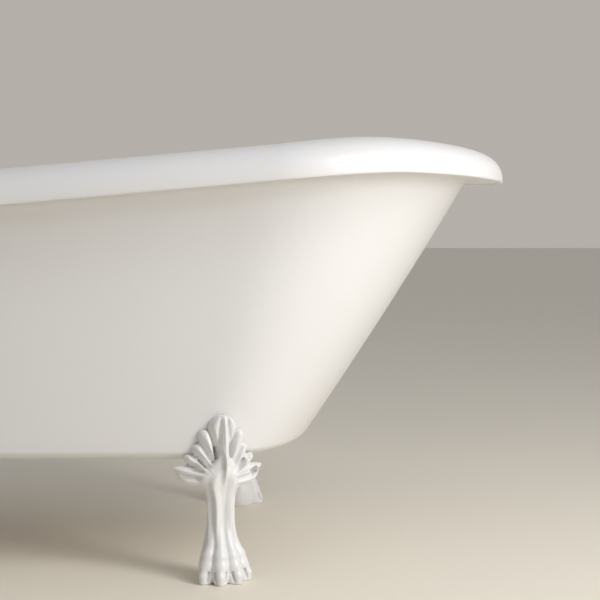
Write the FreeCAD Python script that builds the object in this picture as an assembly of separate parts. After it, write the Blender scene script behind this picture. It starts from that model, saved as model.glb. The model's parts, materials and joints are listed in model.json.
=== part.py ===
"""Free-standing slipper bath on four lion's-paw feet, in millimetres.

X runs along the bath towards the head (high) end, the near long side faces -Y and Z is up.
The origin is on the floor, under the middle of the rim.
"""
import FreeCAD, Part
import math
import os
from FreeCAD import Placement, Rotation, Vector

os.makedirs("parts", exist_ok=True)

# ---------------------------------------------------------------- rim and overall size
BATH_LENGTH = 1700.0          # lip to lip
BATH_WIDTH = 750.0            # lip to lip
HEAD_LIP_X = BATH_LENGTH / 2
TAP_LIP_X = -BATH_LENGTH / 2
LIP_Z_HEAD = 586.6            # sharp lower edge of the rolled rim, at the head end
ROLL_HEIGHT = 53.4            # lip edge up to the crest of the roll
ROLL_WIDTH = 92.7             # lip edge in to the crest of the roll
ROLL_POWER = 2.6              # superellipse power of the roll
RIM_SLOPE = 0.089             # rise of the rim towards the head end
SLOPE_MARGIN = 200.4          # the rim is level this near the head lip
SLOPE_LENGTH = 898.6          # and rises over this length before it
SLOPE_END_X = HEAD_LIP_X - SLOPE_MARGIN
SLOPE_START_X = SLOPE_END_X - SLOPE_LENGTH
SLOPE_START_EASE = 60.0
SLOPE_END_EASE = 24.0
HEAD_DROOP = 1.8              # fall of the rim over the first DROOP_SPAN past the slope's end
DROOP_SPAN = 100.0
LIP_HEAD_LENGTH = 355.0       # length of the rounded head end, at the lip
LIP_HEAD_POWER = 1.8
LIP_TAP_LENGTH = 315.0        # length of the rounded tap end, at the lip
LIP_TAP_POWER = 2.2

# ---------------------------------------------------------------- outer skin
SKIN = 4.0                    # thickness of the outer skin
LIP_RECESS = 1.5              # the skin's flange sits this far above the lip edge
BOND_GAP = 0.3                # lip to flange edge
BOND_WIDTH = 9.0              # bead of resin between lip and flange
BOND_HEIGHT = 6.0
BOND_LEAN = 1.3               # the bead's top edge stands this far from the lip's plane
REFERENCE_Z = 540.0           # height at which the wall outlines are given
BOTTOM_Z = 169.2              # underside of the bath
WALL_HALF_WIDTH = 302.4
WALL_SIDE_TAPER = 0.1016      # narrowing of each side per mm of depth
WALL_HEAD_MARGIN = 86.4       # head lip in to the wall, at REFERENCE_Z
WALL_HEAD_X = HEAD_LIP_X - WALL_HEAD_MARGIN
WALL_HEAD_TAPER = 0.646       # tan of the head wall's angle from the vertical
WALL_HEAD_BELLY = 4.0         # bulge of the head wall at mid depth
WALL_HEAD_LENGTH = 307.3      # length of the rounded head end
WALL_HEAD_LENGTH_TAPER = 0.424
WALL_HEAD_POWER = 2.15
WALL_TAP_MARGIN = 69.0        # tap lip in to the wall, at REFERENCE_Z
WALL_TAP_X = TAP_LIP_X + WALL_TAP_MARGIN
WALL_TAP_TAPER = 0.18
WALL_TAP_LENGTH = 262.0
WALL_TAP_LENGTH_TAPER = 0.28
WALL_TAP_POWER = 2.25
CORNER_HEIGHT = 17.3          # rounding between wall and underside
CORNER_SIDE = 40.8
CORNER_END = 38.9

# ---------------------------------------------------------------- basin
SHELL = 5.0                   # thickness of the basin and its roll
BASIN_HALF_WIDTH = 250.0      # at REFERENCE_Z
BASIN_HEAD_MARGIN = 150.0     # head lip in to the basin's wall, at REFERENCE_Z
BASIN_HEAD_X = HEAD_LIP_X - BASIN_HEAD_MARGIN
BASIN_HEAD_LENGTH = 262.0
BASIN_TAP_MARGIN = 138.0      # tap lip in to the basin's wall, at REFERENCE_Z
BASIN_TAP_X = TAP_LIP_X + BASIN_TAP_MARGIN
BASIN_TAP_TAPER = 0.24
BASIN_TAP_LENGTH = 215.0
ROLL_DROP = 46.0              # crest down to the straight basin wall
FLOOR_ROUND_HEIGHT = 74.0     # rounding between basin wall and floor
FLOOR_ROUND_SIDE = 70.0
FLOOR_FALL = 0.008            # fall of the basin floor towards the waste
ROLL_PULL = 1.45              # fullness of the curve that leaves the crest of the roll
WALL_PULL = 1.3               # and of the curve as it reaches the straight wall
FLOOR_PULL = 1.5              # fullness of the rounding between wall and floor
ROLL_ANGLES = (0, 9, 20, 32, 44, 55, 66, 78)   # rings on the roll, lip edge to crest
CORNER_ANGLES = (0, 15, 30, 45, 60, 75, 90)    # rings on the skin's lower corner
WALL_SHARES = (0.0, 0.2, 0.4, 0.6, 0.8)        # rings on the basin wall, as shares of its height
SKIN_SHARES = (0.0, 0.2, 0.4, 0.6, 0.8, 0.93)  # rings on the skin's wall, closer above its corner

# ---------------------------------------------------------------- frame under the basin
RAIL_HEIGHT = 26.0
RAIL_SHEET = 3.0
RAIL_WEB = 44.0               # width of the raised middle of the rail
RAIL_LIP = 24.0               # width of each foot flange of the rail
RAIL_Y = 120.0                # each rail's centre line
RAIL_TAP_MARGIN = 235.0       # lip in to each end of the rails
RAIL_HEAD_MARGIN = 425.0
RAIL_TAP_END = TAP_LIP_X + RAIL_TAP_MARGIN
RAIL_HEAD_END = HEAD_LIP_X - RAIL_HEAD_MARGIN
BOARD = 15.0                  # thickness of the base board
BOARD_OVERLAP = 10.0          # board past each rail's web, and rail past the board's ends
BOARD_CORNER = 40.0
BOARD_SLOT = 100.0            # width of the slot in the board round the waste
BRACKET = 6.0                 # thickness of the foot brackets
BRACKET_LENGTH = 90.0         # along the rail
BRACKET_MARGIN = 14.0         # plate past its outer bolts
BRACKET_BOLT_SPACING = 56.0   # along the rail
NOSE_R = 20.0                 # rounded end of the bracket round the foot bolt

# ---------------------------------------------------------------- feet
FOOT_HEAD_MARGIN = 440.0      # lip in to the feet's axes
FOOT_TAP_MARGIN = 260.0
FOOT_X_HEAD = HEAD_LIP_X - FOOT_HEAD_MARGIN
FOOT_X_TAP = TAP_LIP_X + FOOT_TAP_MARGIN
FOOT_Y = 261.0
FOOT_TURN = 23.0              # each foot faces outwards, turned this much towards its end
FOOT_WALL_GAP = 2.2           # fan to bath wall
FAN_CENTRE_Z = 150.0
TONGUE = 10.0                 # thickness of the tongue that carries the bath
TONGUE_WIDTH = 40.0
TONGUE_REACH = 64.0           # from the leg's axis back under the bath
FOOT_BOLT_BACK = 46.0         # from the leg's axis to the foot bolt
FAN_TOP_HEIGHT = 92.0         # middle leaf, from the fan's centre to its tip
FAN_NOTCH = 0.11              # depth of the notches between the leaves, as a share of a leaf
FAN_EDGE = 5.0                # thickness of the leaves at their tips
FAN_MIDDLE = 19.0             # thickness of the fan over the leg
FAN_RELIEF = 3.4              # height of the ridge along each leaf
FAN_KEEL = 5.0                # extra height of the keel along the middle leaf
FAN_KEEL_HALF_ANGLE = 9.0
FAN_CORE = 0.22               # size of the flat inner rings, which lie inside the leg
FAN_SHARES = [FAN_CORE, 0.4, 0.58, 0.74, 0.87, 0.96]   # rings of the fan, as shares of a leaf
FAN_BACK_EDGE = 0.5           # the fan's rim lies at this share of its thickness
WINDOW_WIDTH = 7.0            # opening through each wing
WINDOW_HEIGHT = 7.0
WINDOW_SIDE = 47.0            # its near edge, from the middle
WINDOW_Z = 152.0
TOE_SPREAD = 32.0             # degrees between the toes

# ---------------------------------------------------------------- fasteners and levellers
RAIL_BOLT_R = 4.0
FOOT_BOLT_R = 5.0
BOLT_CLEARANCE = 0.5
FIT = 0.05                    # radial clearance of running and seated fits
HEAD_RATIO = 1.6              # hexagon across flats over thread diameter
HEAD_HEIGHT_RATIO = 0.65      # bolt head height over thread diameter
NUT_HEIGHT_RATIO = 0.8
WASHER = 1.6
BOARD_SCREW_GRIP = 11.0       # depth of the screws in the board
BOARD_SCREW_ROWS = 5
BOARD_SCREW_END = 60.0        # outer screws from the rail's ends
BOARD_SCREW_R = 2.25
LEVELLER_R = 5.0
LEVELLER_TRAVEL = 15.0
LEVELLER_LIFT = 1.0           # the pads sit this far above the floor when wound in
PAD_R = 13.0
PAD_HEIGHT = 8.0
PAD_POCKET_R = 16.0
PAD_POCKET_HEIGHT = 14.0
STUD_TOP_Z = 56.0

# ---------------------------------------------------------------- waste and overflow
WASTE_MARGIN = 322.0          # tap lip in to the waste's axis
WASTE_X = TAP_LIP_X + WASTE_MARGIN
WASTE_HOLE_R = 26.0
WASTE_FLANGE_R = 35.0
WASTE_FLANGE = 2.5
WASTE_SEAT = 0.3              # the level flange stands this far above the sloping floor
WASTE_TUBE_R = 22.0
GASKET = 2.5
WASTE_BODY_R = 29.0
WASTE_COLLAR_R = 38.0         # collar of the body under the basin floor
GUIDE_SPOKE = 3.0
OUTLET_R = 23.9               # outside radius of the outlet's 1 1/2 inch thread
OUTLET_BORE_R = 20.0
OUTLET_Z = 128.0              # lower end of the outlet
WASTE_WALL = 3.0
SKIN_OPENING_R = 42.0         # hole in the outer skin under the waste
PLUG_R = 30.0
PLUG_CAP = 4.0
PLUG_CROWN = 1.0              # rise of the cap's middle over its edge
PLUG_SHOULDER = 2.25          # depth of the rounding at the cap's edge
PLUG_STEM_R = 4.0
LEVER_ARM = 16.0              # lever shaft to the plug's stem; 30 degrees lift the plug by 8
LEVER_TIP_R = 3.0
LEVER_GAP = 0.4               # lever tip below the stem when the plug is shut
LEVER_SHAFT_R = 3.0
LEVER_BUSH_IN = 18.0          # inner end of the lever's bush, from the waste's axis
LEVER_BUSH_OUT = 29.5         # outer end of the bush
CABLE_STOP_X = -30.0          # end of the cable in its lug, from the waste's axis
CABLE_STOP = 8.0              # length of the lug along the cable
LEVER_CRANK = 14.0            # shaft up to the cable's pull
CRANK = 3.0                   # thickness of the crank
PLUG_SEAL = 2.0
OVERFLOW_Z = 452.0
OVERFLOW_HOLE_R = 25.0
OVERFLOW_FACE_R = 34.0
OVERFLOW_FACE = 3.0
OVERFLOW_TUBE_R = 22.0
OVERFLOW_STANDOFF = 1.6       # the flat face stands this far off the curved basin wall
OVERFLOW_DEPTH = 30.0         # depth of the overflow body behind the basin wall
KNOB_R = 26.0
KNOB_DEPTH = 13.0
KNOB_GAP = 7.0                # water enters behind the knob
SPINDLE_R = 4.0
EDGE_BREAK = 1.5              # bevel on the edges of turned pieces
INLET_R = 11.0                # spigots that the overflow hose pushes on to
INLET_Z = 188.0
SPIGOT = 15.0                 # length of each spigot
CLIP_BACK = 11.25             # from a spigot's end to its hose clip
SPINDLE_KEY = 8.0             # half length of the cross key on the spindle's inner end
PIPE_MARGIN = 128.0           # tap lip in to the tops of the hose and the cable
BEND_Z = 262.0                # height of their bends behind the basin
HOSE_LEAN = 34.0              # the hose leans in by this much, top to bend
HOSE_LOW_LEAN = 38.0          # and by this much, top to the corner under the basin
CABLE_LEAN = 28.0
CABLE_LOW_LEAN = 32.0
CABLE_TOP_Y = 18.0
CABLE_TOP_Z = 432.0
CABLE_BEND_Y = 24.0
HOSE_WALL = 2.0
HOSE_CLIP = 1.2
HOSE_TOP_X = TAP_LIP_X + PIPE_MARGIN
HOSE_TOP_Z = 413.0            # the hose starts this high on the overflow's spigot
HOSE_BEND = (HOSE_TOP_X + HOSE_LEAN, BEND_Z)
HOSE_CORNER_X = HOSE_TOP_X + HOSE_LOW_LEAN
HOSE_RADII = [90.0, 90.0, 50.0]
CABLE_R = 2.5
CABLE_TOP = Vector(HOSE_TOP_X, CABLE_TOP_Y, CABLE_TOP_Z)
CABLE_DROP = 46.0             # straight run below the overflow's body
CABLE_BEND = Vector(HOSE_TOP_X + CABLE_LEAN, CABLE_BEND_Y, BEND_Z)
CABLE_CORNER_X = HOSE_TOP_X + CABLE_LOW_LEAN
CABLE_RADII = [60.0, 60.0, 50.0]
KNOB_GRIPS = 6
KNOB_GRIP_R = 7.0

FIT_STEPS = 12                # steps that bring the wall's top up to the sloping rim
SIDE_STATIONS = 20            # points along each straight side
END_STATIONS = 25             # points around each rounded end


# ================================================================ outlines
def power(value, exponent):
    """Signed power, so that a superellipse can be written with sines and cosines."""
    return math.copysign(abs(value) ** exponent, value)


def outline(half_width, head_x, head_length, head_power, tap_x, tap_length, tap_power, finer=1):
    """Closed plan outline as points, from the middle of the far side round by the tap end."""
    points = []
    head_join = head_x - head_length
    tap_join = tap_x + tap_length
    middle = (head_join + tap_join) / 2
    half_side = SIDE_STATIONS // 2 * finer
    end_steps = (END_STATIONS - 1) * finer

    def side(start, end, y, count):
        for i in range(count):
            points.append((start + (end - start) * i / count, y))

    def end(join, length, exponent, first_angle):
        for i in range(end_steps):
            angle = math.radians(first_angle + 180.0 * i / end_steps)
            points.append((join + length * power(math.cos(angle), 2 / exponent),
                           half_width * power(math.sin(angle), 2 / exponent)))

    side(middle, tap_join, half_width, half_side)
    end(tap_join, tap_length, tap_power, 90.0)
    side(tap_join, middle, -half_width, half_side)
    side(middle, head_join, -half_width, half_side)
    end(head_join, head_length, head_power, -90.0)
    side(head_join, middle, half_width, half_side)
    return points


def softplus(value, ease):
    """Smooth ramp: zero below zero, rising as value above it."""
    if value > 40 * ease:
        return value
    return ease * math.log1p(math.exp(value / ease))


def lip_height(x):
    """Height of the lip's lower edge along the bath."""
    slope = softplus(SLOPE_END_X - x, SLOPE_END_EASE) - softplus(SLOPE_START_X - x, SLOPE_START_EASE)
    past = max(0.0, (x - SLOPE_END_X) / DROOP_SPAN)
    return LIP_Z_HEAD - RIM_SLOPE * slope - HEAD_DROOP * past * past


def outer_wall(z, inset=0.0, end_inset=0.0, finer=1):
    """Outer wall's outline at height z, drawn in by inset at the sides and end_inset at the ends."""
    depth = REFERENCE_Z - z
    share = depth / (REFERENCE_Z - BOTTOM_Z)
    belly = WALL_HEAD_BELLY * 4 * share * (1 - share)
    return outline(
        WALL_HALF_WIDTH - WALL_SIDE_TAPER * depth - inset,
        WALL_HEAD_X - WALL_HEAD_TAPER * depth + belly - end_inset,
        WALL_HEAD_LENGTH - WALL_HEAD_LENGTH_TAPER * depth, WALL_HEAD_POWER,
        WALL_TAP_X + WALL_TAP_TAPER * depth + end_inset,
        WALL_TAP_LENGTH - WALL_TAP_LENGTH_TAPER * depth, WALL_TAP_POWER, finer)


def basin_wall(z, inset=0.0):
    """Basin wall's outline at height z."""
    depth = REFERENCE_Z - z
    return outline(
        BASIN_HALF_WIDTH - WALL_SIDE_TAPER * depth - inset,
        BASIN_HEAD_X - WALL_HEAD_TAPER * depth - inset,
        BASIN_HEAD_LENGTH - WALL_HEAD_LENGTH_TAPER / 2 * depth, WALL_HEAD_POWER,
        BASIN_TAP_X + BASIN_TAP_TAPER * depth + inset,
        BASIN_TAP_LENGTH - WALL_TAP_LENGTH_TAPER / 2 * depth, WALL_TAP_POWER)


LIP = outline(BATH_WIDTH / 2, BATH_LENGTH / 2, LIP_HEAD_LENGTH, LIP_HEAD_POWER,
              -BATH_LENGTH / 2, LIP_TAP_LENGTH, LIP_TAP_POWER)
COUNT = len(LIP)


def plan_normals(points):
    """Unit vectors that point out of a closed outline that runs anticlockwise."""
    normals = []
    for i in range(len(points)):
        ahead = points[(i + 1) % len(points)]
        behind = points[i - 1]
        dx, dy = ahead[0] - behind[0], ahead[1] - behind[1]
        size = math.hypot(dx, dy)
        normals.append((dy / size, -dx / size))
    return normals


LIP_NORMALS = plan_normals(LIP)


# ================================================================ surfaces
def chord_parameters(points):
    """Knots from 0 to 1 by distance round a closed line of points."""
    sizes = [(points[(i + 1) % len(points)] - points[i]).Length for i in range(len(points))]
    knots = [0.0]
    for size in sizes:
        knots.append(knots[-1] + size / sum(sizes))
    return knots


def mean_parameters(rings):
    """Knots from 0 to 1 across a stack of rings, by the mean distance from ring to ring."""
    sizes = [sum((above - below).Length for above, below in zip(*pair)) for pair in zip(rings, rings[1:])]
    knots = [0.0]
    for size in sizes:
        knots.append(knots[-1] + size / sum(sizes))
    return knots


def rings_surface(rings, around, straight=False):
    """One smooth face through closed rings of points; around holds the knots along a ring."""
    curves = []
    for ring in rings:
        curve = Part.BSplineCurve()
        curve.interpolate(Points=ring, PeriodicFlag=True, Parameters=around)
        curves.append(curve)
    poles = [curve.getPoles() for curve in curves]
    if straight:
        columns = [list(column) for column in zip(*poles)]
        knots, mults, degree = [0.0, 1.0], [2, 2], 1
    else:
        across = mean_parameters(rings)
        columns = []
        for column in zip(*poles):
            curve = Part.BSplineCurve()
            curve.interpolate(Points=list(column), Parameters=across)
            columns.append(curve.getPoles())
            knots, mults, degree = curve.getKnots(), curve.getMultiplicities(), curve.Degree
    first = curves[0]
    surface = Part.BSplineSurface()
    surface.buildFromPolesMultsKnots(columns, first.getMultiplicities(), mults, first.getKnots(),
                                     knots, True, False, first.Degree, degree)
    return surface.toShape()


def cap(ring, around):
    """Flat face inside one closed ring of points that lie in a plane."""
    curve = Part.BSplineCurve()
    curve.interpolate(Points=ring, PeriodicFlag=True, Parameters=around)
    return Part.Face(Part.Wire([curve.toShape()]))


def closed_solid(faces, name):
    """Solid from faces that meet edge to edge."""
    shell = Part.makeShell(faces)
    shell.sewShape()
    if shell.ShapeType != "Shell":
        shell = shell.Shells[0]
    solid = Part.Solid(shell)
    if solid.Volume < 0:
        solid.reverse()
    if not (solid.isValid() and shell.isClosed()):
        print("NOT CLOSED", name, solid.isValid(), shell.isClosed())
    return solid


def ring_stack(rings, name, around=None):
    """Solid skinned through a stack of rings, with a flat cap on the first and the last."""
    around = around or chord_parameters(rings[0])
    faces = [rings_surface(rings, around), cap(rings[0], around), cap(rings[-1], around)]
    return closed_solid(faces, name)


def hermite(start, end, start_pull, end_pull, share):
    """Point on the smooth curve that leaves start along start_pull and arrives along end_pull."""
    s2, s3 = share * share, share ** 3
    return (start * (2 * s3 - 3 * s2 + 1) + start_pull * (s3 - 2 * s2 + share)
            + end * (3 * s2 - 2 * s3) + end_pull * (s3 - s2))


def offset_rings(rings, distance):
    """Rings moved by distance to the hidden side of the face that they lie on."""
    moved = []
    for j, ring in enumerate(rings):
        above, below = rings[max(j - 1, 0)], rings[min(j + 1, len(rings) - 1)]
        line = []
        for i, point in enumerate(ring):
            along = ring[(i + 1) % len(ring)] - ring[i - 1]
            down = below[i] - above[i]
            normal = along.cross(down)
            normal.normalize()
            line.append(point - normal * distance)
        moved.append(line)
    return moved


# ================================================================ simple solids
def upright(radius, low, high, x, y):
    """Upright cylinder between two heights."""
    return Part.makeCylinder(radius, high - low, Vector(x, y, low))


def washer_ring(outer, inner, low, high, x, y):
    """Upright ring between two heights."""
    return upright(outer, low, high, x, y).cut(upright(inner, low - 1, high + 1, x, y))


def hexagon(across, low, high, x, y):
    """Upright hexagonal prism."""
    corner = across / math.sqrt(3)
    points = [Vector(x + corner * math.cos(math.radians(60 * i)),
                     y + corner * math.sin(math.radians(60 * i)), low) for i in range(7)]
    return Part.Face(Part.makePolygon(points)).extrude(Vector(0, 0, high - low))


def block(x_low, x_high, y_low, y_high, z_low, z_high):
    """Box between two corners."""
    return Part.makeBox(x_high - x_low, y_high - y_low, z_high - z_low, Vector(x_low, y_low, z_low))


def prism(points, low, high):
    """Upright prism on a closed plan polygon."""
    line = [Vector(x, y, low) for x, y in points]
    return Part.Face(Part.makePolygon(line + line[:1])).extrude(Vector(0, 0, high - low))


def along_y(radius, low, high, x, z):
    """Cylinder along Y between two places."""
    return Part.makeCylinder(radius, high - low, Vector(x, low, z), Vector(0, 1, 0))


def spoked_guide(shaft, bore, low, high, first_angle):
    """Ring that guides a shaft on the Z axis, and the three spokes that hold it in a bore."""
    pieces = [washer_ring(shaft + GUIDE_SPOKE, shaft + FIT, low, high, 0, 0)]
    for i in range(3):
        spoke = block(shaft + 1, bore + 1, -GUIDE_SPOKE / 2, GUIDE_SPOKE / 2, low, high)
        spoke.rotate(Vector(0, 0, 0), Vector(0, 0, 1), first_angle + 120.0 * i)
        pieces.append(spoke)
    return pieces


def revolved(profile):
    """Solid turned about Z from (radius, height) corners."""
    line = [Vector(radius, 0, height) for radius, height in profile]
    return Part.Face(Part.makePolygon(line + line[:1])).revolve(Vector(0, 0, 0), Vector(0, 0, 1), 360)


def joined(shapes):
    """One solid from shapes that meet or overlap."""
    return shapes[0].fuse(shapes[1:]).removeSplitter()


def bent_path(points, radii):
    """Wire of straight runs joined by tangent arcs, one radius for each inner point."""
    edges = []
    start = points[0]
    for i in range(1, len(points) - 1):
        back = (points[i - 1] - points[i]).normalize()
        ahead = (points[i + 1] - points[i]).normalize()
        turn = math.pi - back.getAngle(ahead)
        reach = radii[i - 1] * math.tan(turn / 2)
        enter, leave = points[i] + back * reach, points[i] + ahead * reach
        bisector = (back + ahead).normalize()
        centre = points[i] + bisector * (radii[i - 1] / math.cos(turn / 2))
        mid = centre - bisector * radii[i - 1]
        edges.append(Part.LineSegment(start, enter).toShape())
        edges.append(Part.Arc(enter, mid, leave).toShape())
        start = leave
    edges.append(Part.LineSegment(start, points[-1]).toShape())
    return Part.Wire(edges)


def pipe(path, radius, bore=0.0):
    """Round pipe along a wire."""
    def swept(size):
        first = path.Edges[0]
        start = first.valueAt(first.FirstParameter)
        direction = first.tangentAt(first.FirstParameter)
        circle = Part.Wire([Part.makeCircle(size, start, direction)])
        return path.makePipeShell([circle], True, False)
    solid = swept(radius)
    return solid.cut(swept(bore)) if bore else solid


# ================================================================ bath shells
def plan_ring(points, height):
    """3-D ring from plan points and a height, or a height for each x."""
    if callable(height):
        return [Vector(x, y, height(x)) for x, y in points]
    return [Vector(x, y, height) for x, y in points]


AROUND = chord_parameters(plan_ring(LIP, 0.0))


def roll_ring(angle):
    """Ring on the rolled rim: 0 degrees at the lip's lower edge, 90 degrees on the crest."""
    inset = ROLL_WIDTH * (1 - math.cos(angle) ** (2 / ROLL_POWER))
    rise = ROLL_HEIGHT * math.sin(angle) ** (2 / ROLL_POWER)
    return [Vector(x - nx * inset, y - ny * inset, lip_height(x) + rise)
            for (x, y), (nx, ny) in zip(LIP, LIP_NORMALS)]


FLOOR_Z = BOTTOM_Z + SKIN + RAIL_HEIGHT + BOARD + SHELL


def floor_height(x):
    """Height of the basin floor, which falls towards the waste."""
    return FLOOR_Z + FLOOR_FALL * (x - WASTE_X)


def basin_point(i, z, inset=0.0):
    """Point of station i on the basin wall at height z."""
    x, y = basin_wall(z, inset)[i]
    return Vector(x, y, z)


def basin_rings():
    """Rings of the basin's show face with a level floor, from the lip edge to the floor."""
    rings = [roll_ring(math.radians(a)) for a in ROLL_ANGLES]
    crest = roll_ring(math.radians(90 - 1e-9))
    foot_z = FLOOR_Z + FLOOR_ROUND_HEIGHT
    tops = [point.z - ROLL_DROP for point in crest]
    wall_top = [basin_point(i, z) for i, z in enumerate(tops)]
    wall_foot = plan_ring(basin_wall(foot_z), foot_z)
    floor = plan_ring(basin_wall(FLOOR_Z, FLOOR_ROUND_SIDE), FLOOR_Z)
    rings.append(crest)

    def between(share):
        line = []
        for i in range(COUNT):
            inwards = wall_top[i] - crest[i]
            inwards.z = 0.0
            down = (wall_foot[i] - wall_top[i]) / (tops[i] - foot_z) * ROLL_DROP
            line.append(hermite(crest[i], wall_top[i], inwards * ROLL_PULL,
                                down * WALL_PULL, share))
        return line

    rings += [between(share) for share in WALL_SHARES[1:]]
    for share in WALL_SHARES:
        heights = [top + (foot_z - top) * share for top in tops]
        rings.append([basin_point(i, z) for i, z in enumerate(heights)])
    for share in WALL_SHARES:
        line = []
        for i in range(COUNT):
            down = (wall_foot[i] - wall_top[i]) / (tops[i] - foot_z) * FLOOR_ROUND_HEIGHT
            inwards = floor[i] - wall_foot[i]
            inwards.z = 0.0
            line.append(hermite(wall_foot[i], floor[i], down * FLOOR_PULL, inwards * FLOOR_PULL, share))
        rings.append(line)
    rings.append(floor)
    return rings


def make_basin():
    """One-piece basin with its rolled rim, the waste hole and the overflow hole."""
    level = basin_rings()
    back = offset_rings(level, SHELL)
    for point in back[-1]:
        point.z = FLOOR_Z - SHELL
    for point, lip_point in zip(back[0], level[0]):
        point.z = lip_point.z
    span = level[len(ROLL_ANGLES)][0].z - FLOOR_Z
    show = []
    for ring in level:
        line = []
        for point in ring:
            weight = max(0.0, 1 - (point.z - FLOOR_Z) / span) ** 3
            line.append(point + Vector(0, 0, (floor_height(point.x) - FLOOR_Z) * weight))
        show.append(line)
    faces = [rings_surface(show, AROUND), cap(show[-1], AROUND),
             rings_surface(back, AROUND), cap(back[-1], AROUND),
             rings_surface([show[0], back[0]], AROUND, straight=True)]
    basin = closed_solid(faces, "bath_inner_shell")
    waste = upright(WASTE_HOLE_R, FLOOR_Z - 2 * SHELL, FLOOR_Z + SHELL, WASTE_X, 0)
    overflow = Part.makeCylinder(OVERFLOW_HOLE_R, 6 * SHELL, Vector(0, 0, -3 * SHELL))
    return basin.cut(waste).cut(at_overflow(overflow))


def lip_inner_ring(gap, rise):
    """Ring just inside the lip, rise above the lip's lower edge."""
    inset = SHELL + gap
    return [Vector(x - nx * inset, y - ny * inset, lip_height(x) + rise)
            for (x, y), (nx, ny) in zip(LIP, LIP_NORMALS)]


def wall_top_ring(rise, inset=0.0):
    """Ring where the outer wall meets the flange behind the lip."""
    line = []
    for i in range(COUNT):
        z = LIP_Z_HEAD
        for _ in range(FIT_STEPS):
            x, y = outer_wall(z, inset, inset)[i]
            z = lip_height(x) + rise
        line.append(Vector(x, y, z))
    return line


def skin_rings(inset, bottom, flange_rise):
    """Rings of the outer wall from the flange down to its flat underside."""
    top = wall_top_ring(flange_rise, inset)
    corner_z = bottom + CORNER_HEIGHT
    rings = []
    for share in SKIN_SHARES:
        heights = [point.z + (corner_z - point.z) * share for point in top]
        line = []
        for i, z in enumerate(heights):
            x, y = outer_wall(z, inset, inset)[i]
            line.append(Vector(x, y, z))
        rings.append(line)
    for angle in CORNER_ANGLES:
        turn = math.radians(angle)
        z = bottom + CORNER_HEIGHT * (1 - math.sin(turn))
        draw_in = 1 - math.cos(turn)
        rings.append(plan_ring(outer_wall(z, inset + CORNER_SIDE * draw_in,
                                          inset + CORNER_END * draw_in), z))
    return rings


def make_skin():
    """Outer shell: flange behind the lip, wall and flat underside with the pipe opening."""
    outer = skin_rings(0.0, BOTTOM_Z, LIP_RECESS)
    inner = skin_rings(SKIN, BOTTOM_Z + SKIN, LIP_RECESS + SKIN)
    edge_low = lip_inner_ring(BOND_GAP, LIP_RECESS)
    edge_high = lip_inner_ring(BOND_GAP, LIP_RECESS + SKIN)
    faces = [rings_surface([edge_low, outer[0]], AROUND, straight=True),
             rings_surface(outer, AROUND), cap(outer[-1], AROUND),
             rings_surface([edge_high, inner[0]], AROUND, straight=True),
             rings_surface(inner, AROUND), cap(inner[-1], AROUND),
             rings_surface([edge_low, edge_high], AROUND, straight=True)]
    skin = closed_solid(faces, "bath_outer_skin")
    skin = skin.cut(upright(SKIN_OPENING_R, BOTTOM_Z - SKIN, BOTTOM_Z + 2 * SKIN, WASTE_X, 0))
    for x, y in rail_bolt_places():
        skin = skin.cut(upright(RAIL_BOLT_R + BOLT_CLEARANCE, BOTTOM_Z - SKIN, BOTTOM_Z + 2 * SKIN, x, y))
    return skin


# ================================================================ places
BACK = {"near": -1.0, "far": 1.0}
FEET = [(end, side) for end in ("head", "tap") for side in ("near", "far")]


def foot_centre(end, side):
    """Plan position of a leg's axis."""
    return Vector(FOOT_X_HEAD if end == "head" else FOOT_X_TAP, BACK[side] * FOOT_Y, 0)


def foot_rotation(end, side):
    """Turn of a foot about Z: it is modelled facing -Y."""
    towards_end = FOOT_TURN if end == "head" else -FOOT_TURN
    return towards_end if side == "near" else 180.0 - towards_end


def placed_foot(shape, end, side):
    """Copy of a shape from the foot's own frame, at one of the feet; the far feet mirror the near ones."""
    copy = shape.copy() if side == "near" else shape.mirror(Vector(0, 0, 0), Vector(1, 0, 0))
    copy.Placement = Placement(foot_centre(end, side),
                               Rotation(Vector(0, 0, 1), foot_rotation(end, side)))
    return copy


def foot_bolt_place(end, side):
    """Plan position of the bolt through a foot's tongue."""
    turn = Rotation(Vector(0, 0, 1), foot_rotation(end, side))
    return foot_centre(end, side) + turn.multVec(Vector(0, FOOT_BOLT_BACK, 0))


def bracket_bolt_places(end, side):
    """Plan positions of the bolts that hold a bracket to its rail."""
    x_middle = foot_bolt_place(end, side).x
    lip_middle = RAIL_WEB / 2 + RAIL_LIP / 2
    return [(x_middle + dx * BRACKET_BOLT_SPACING / 2, BACK[side] * (RAIL_Y + dy * lip_middle))
            for dx in (-1, 1) for dy in (-1, 1)]


def rail_bolt_places():
    """Plan positions of every bracket bolt."""
    return [place for end, side in FEET for place in bracket_bolt_places(end, side)]


OVERFLOW_LEAN = math.degrees(math.atan(BASIN_TAP_TAPER))
OVERFLOW_X = BASIN_TAP_X + BASIN_TAP_TAPER * (REFERENCE_Z - OVERFLOW_Z)


def at_overflow(shape):
    """Shape moved from a frame whose +Z points out of the basin wall to the overflow's place."""
    copy = shape.copy()
    turn = Rotation(Vector(0, 1, 0), 90.0 - OVERFLOW_LEAN)
    copy.Placement = Placement(Vector(OVERFLOW_X, 0, OVERFLOW_Z), turn).multiply(copy.Placement)
    return copy


# ================================================================ frame under the basin
RAIL_Z = BOTTOM_Z + SKIN
BOARD_Z = RAIL_Z + RAIL_HEIGHT
LIP_TOP_Z = RAIL_Z + RAIL_SHEET
BRACKET_Z = BOTTOM_Z - BRACKET


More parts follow.
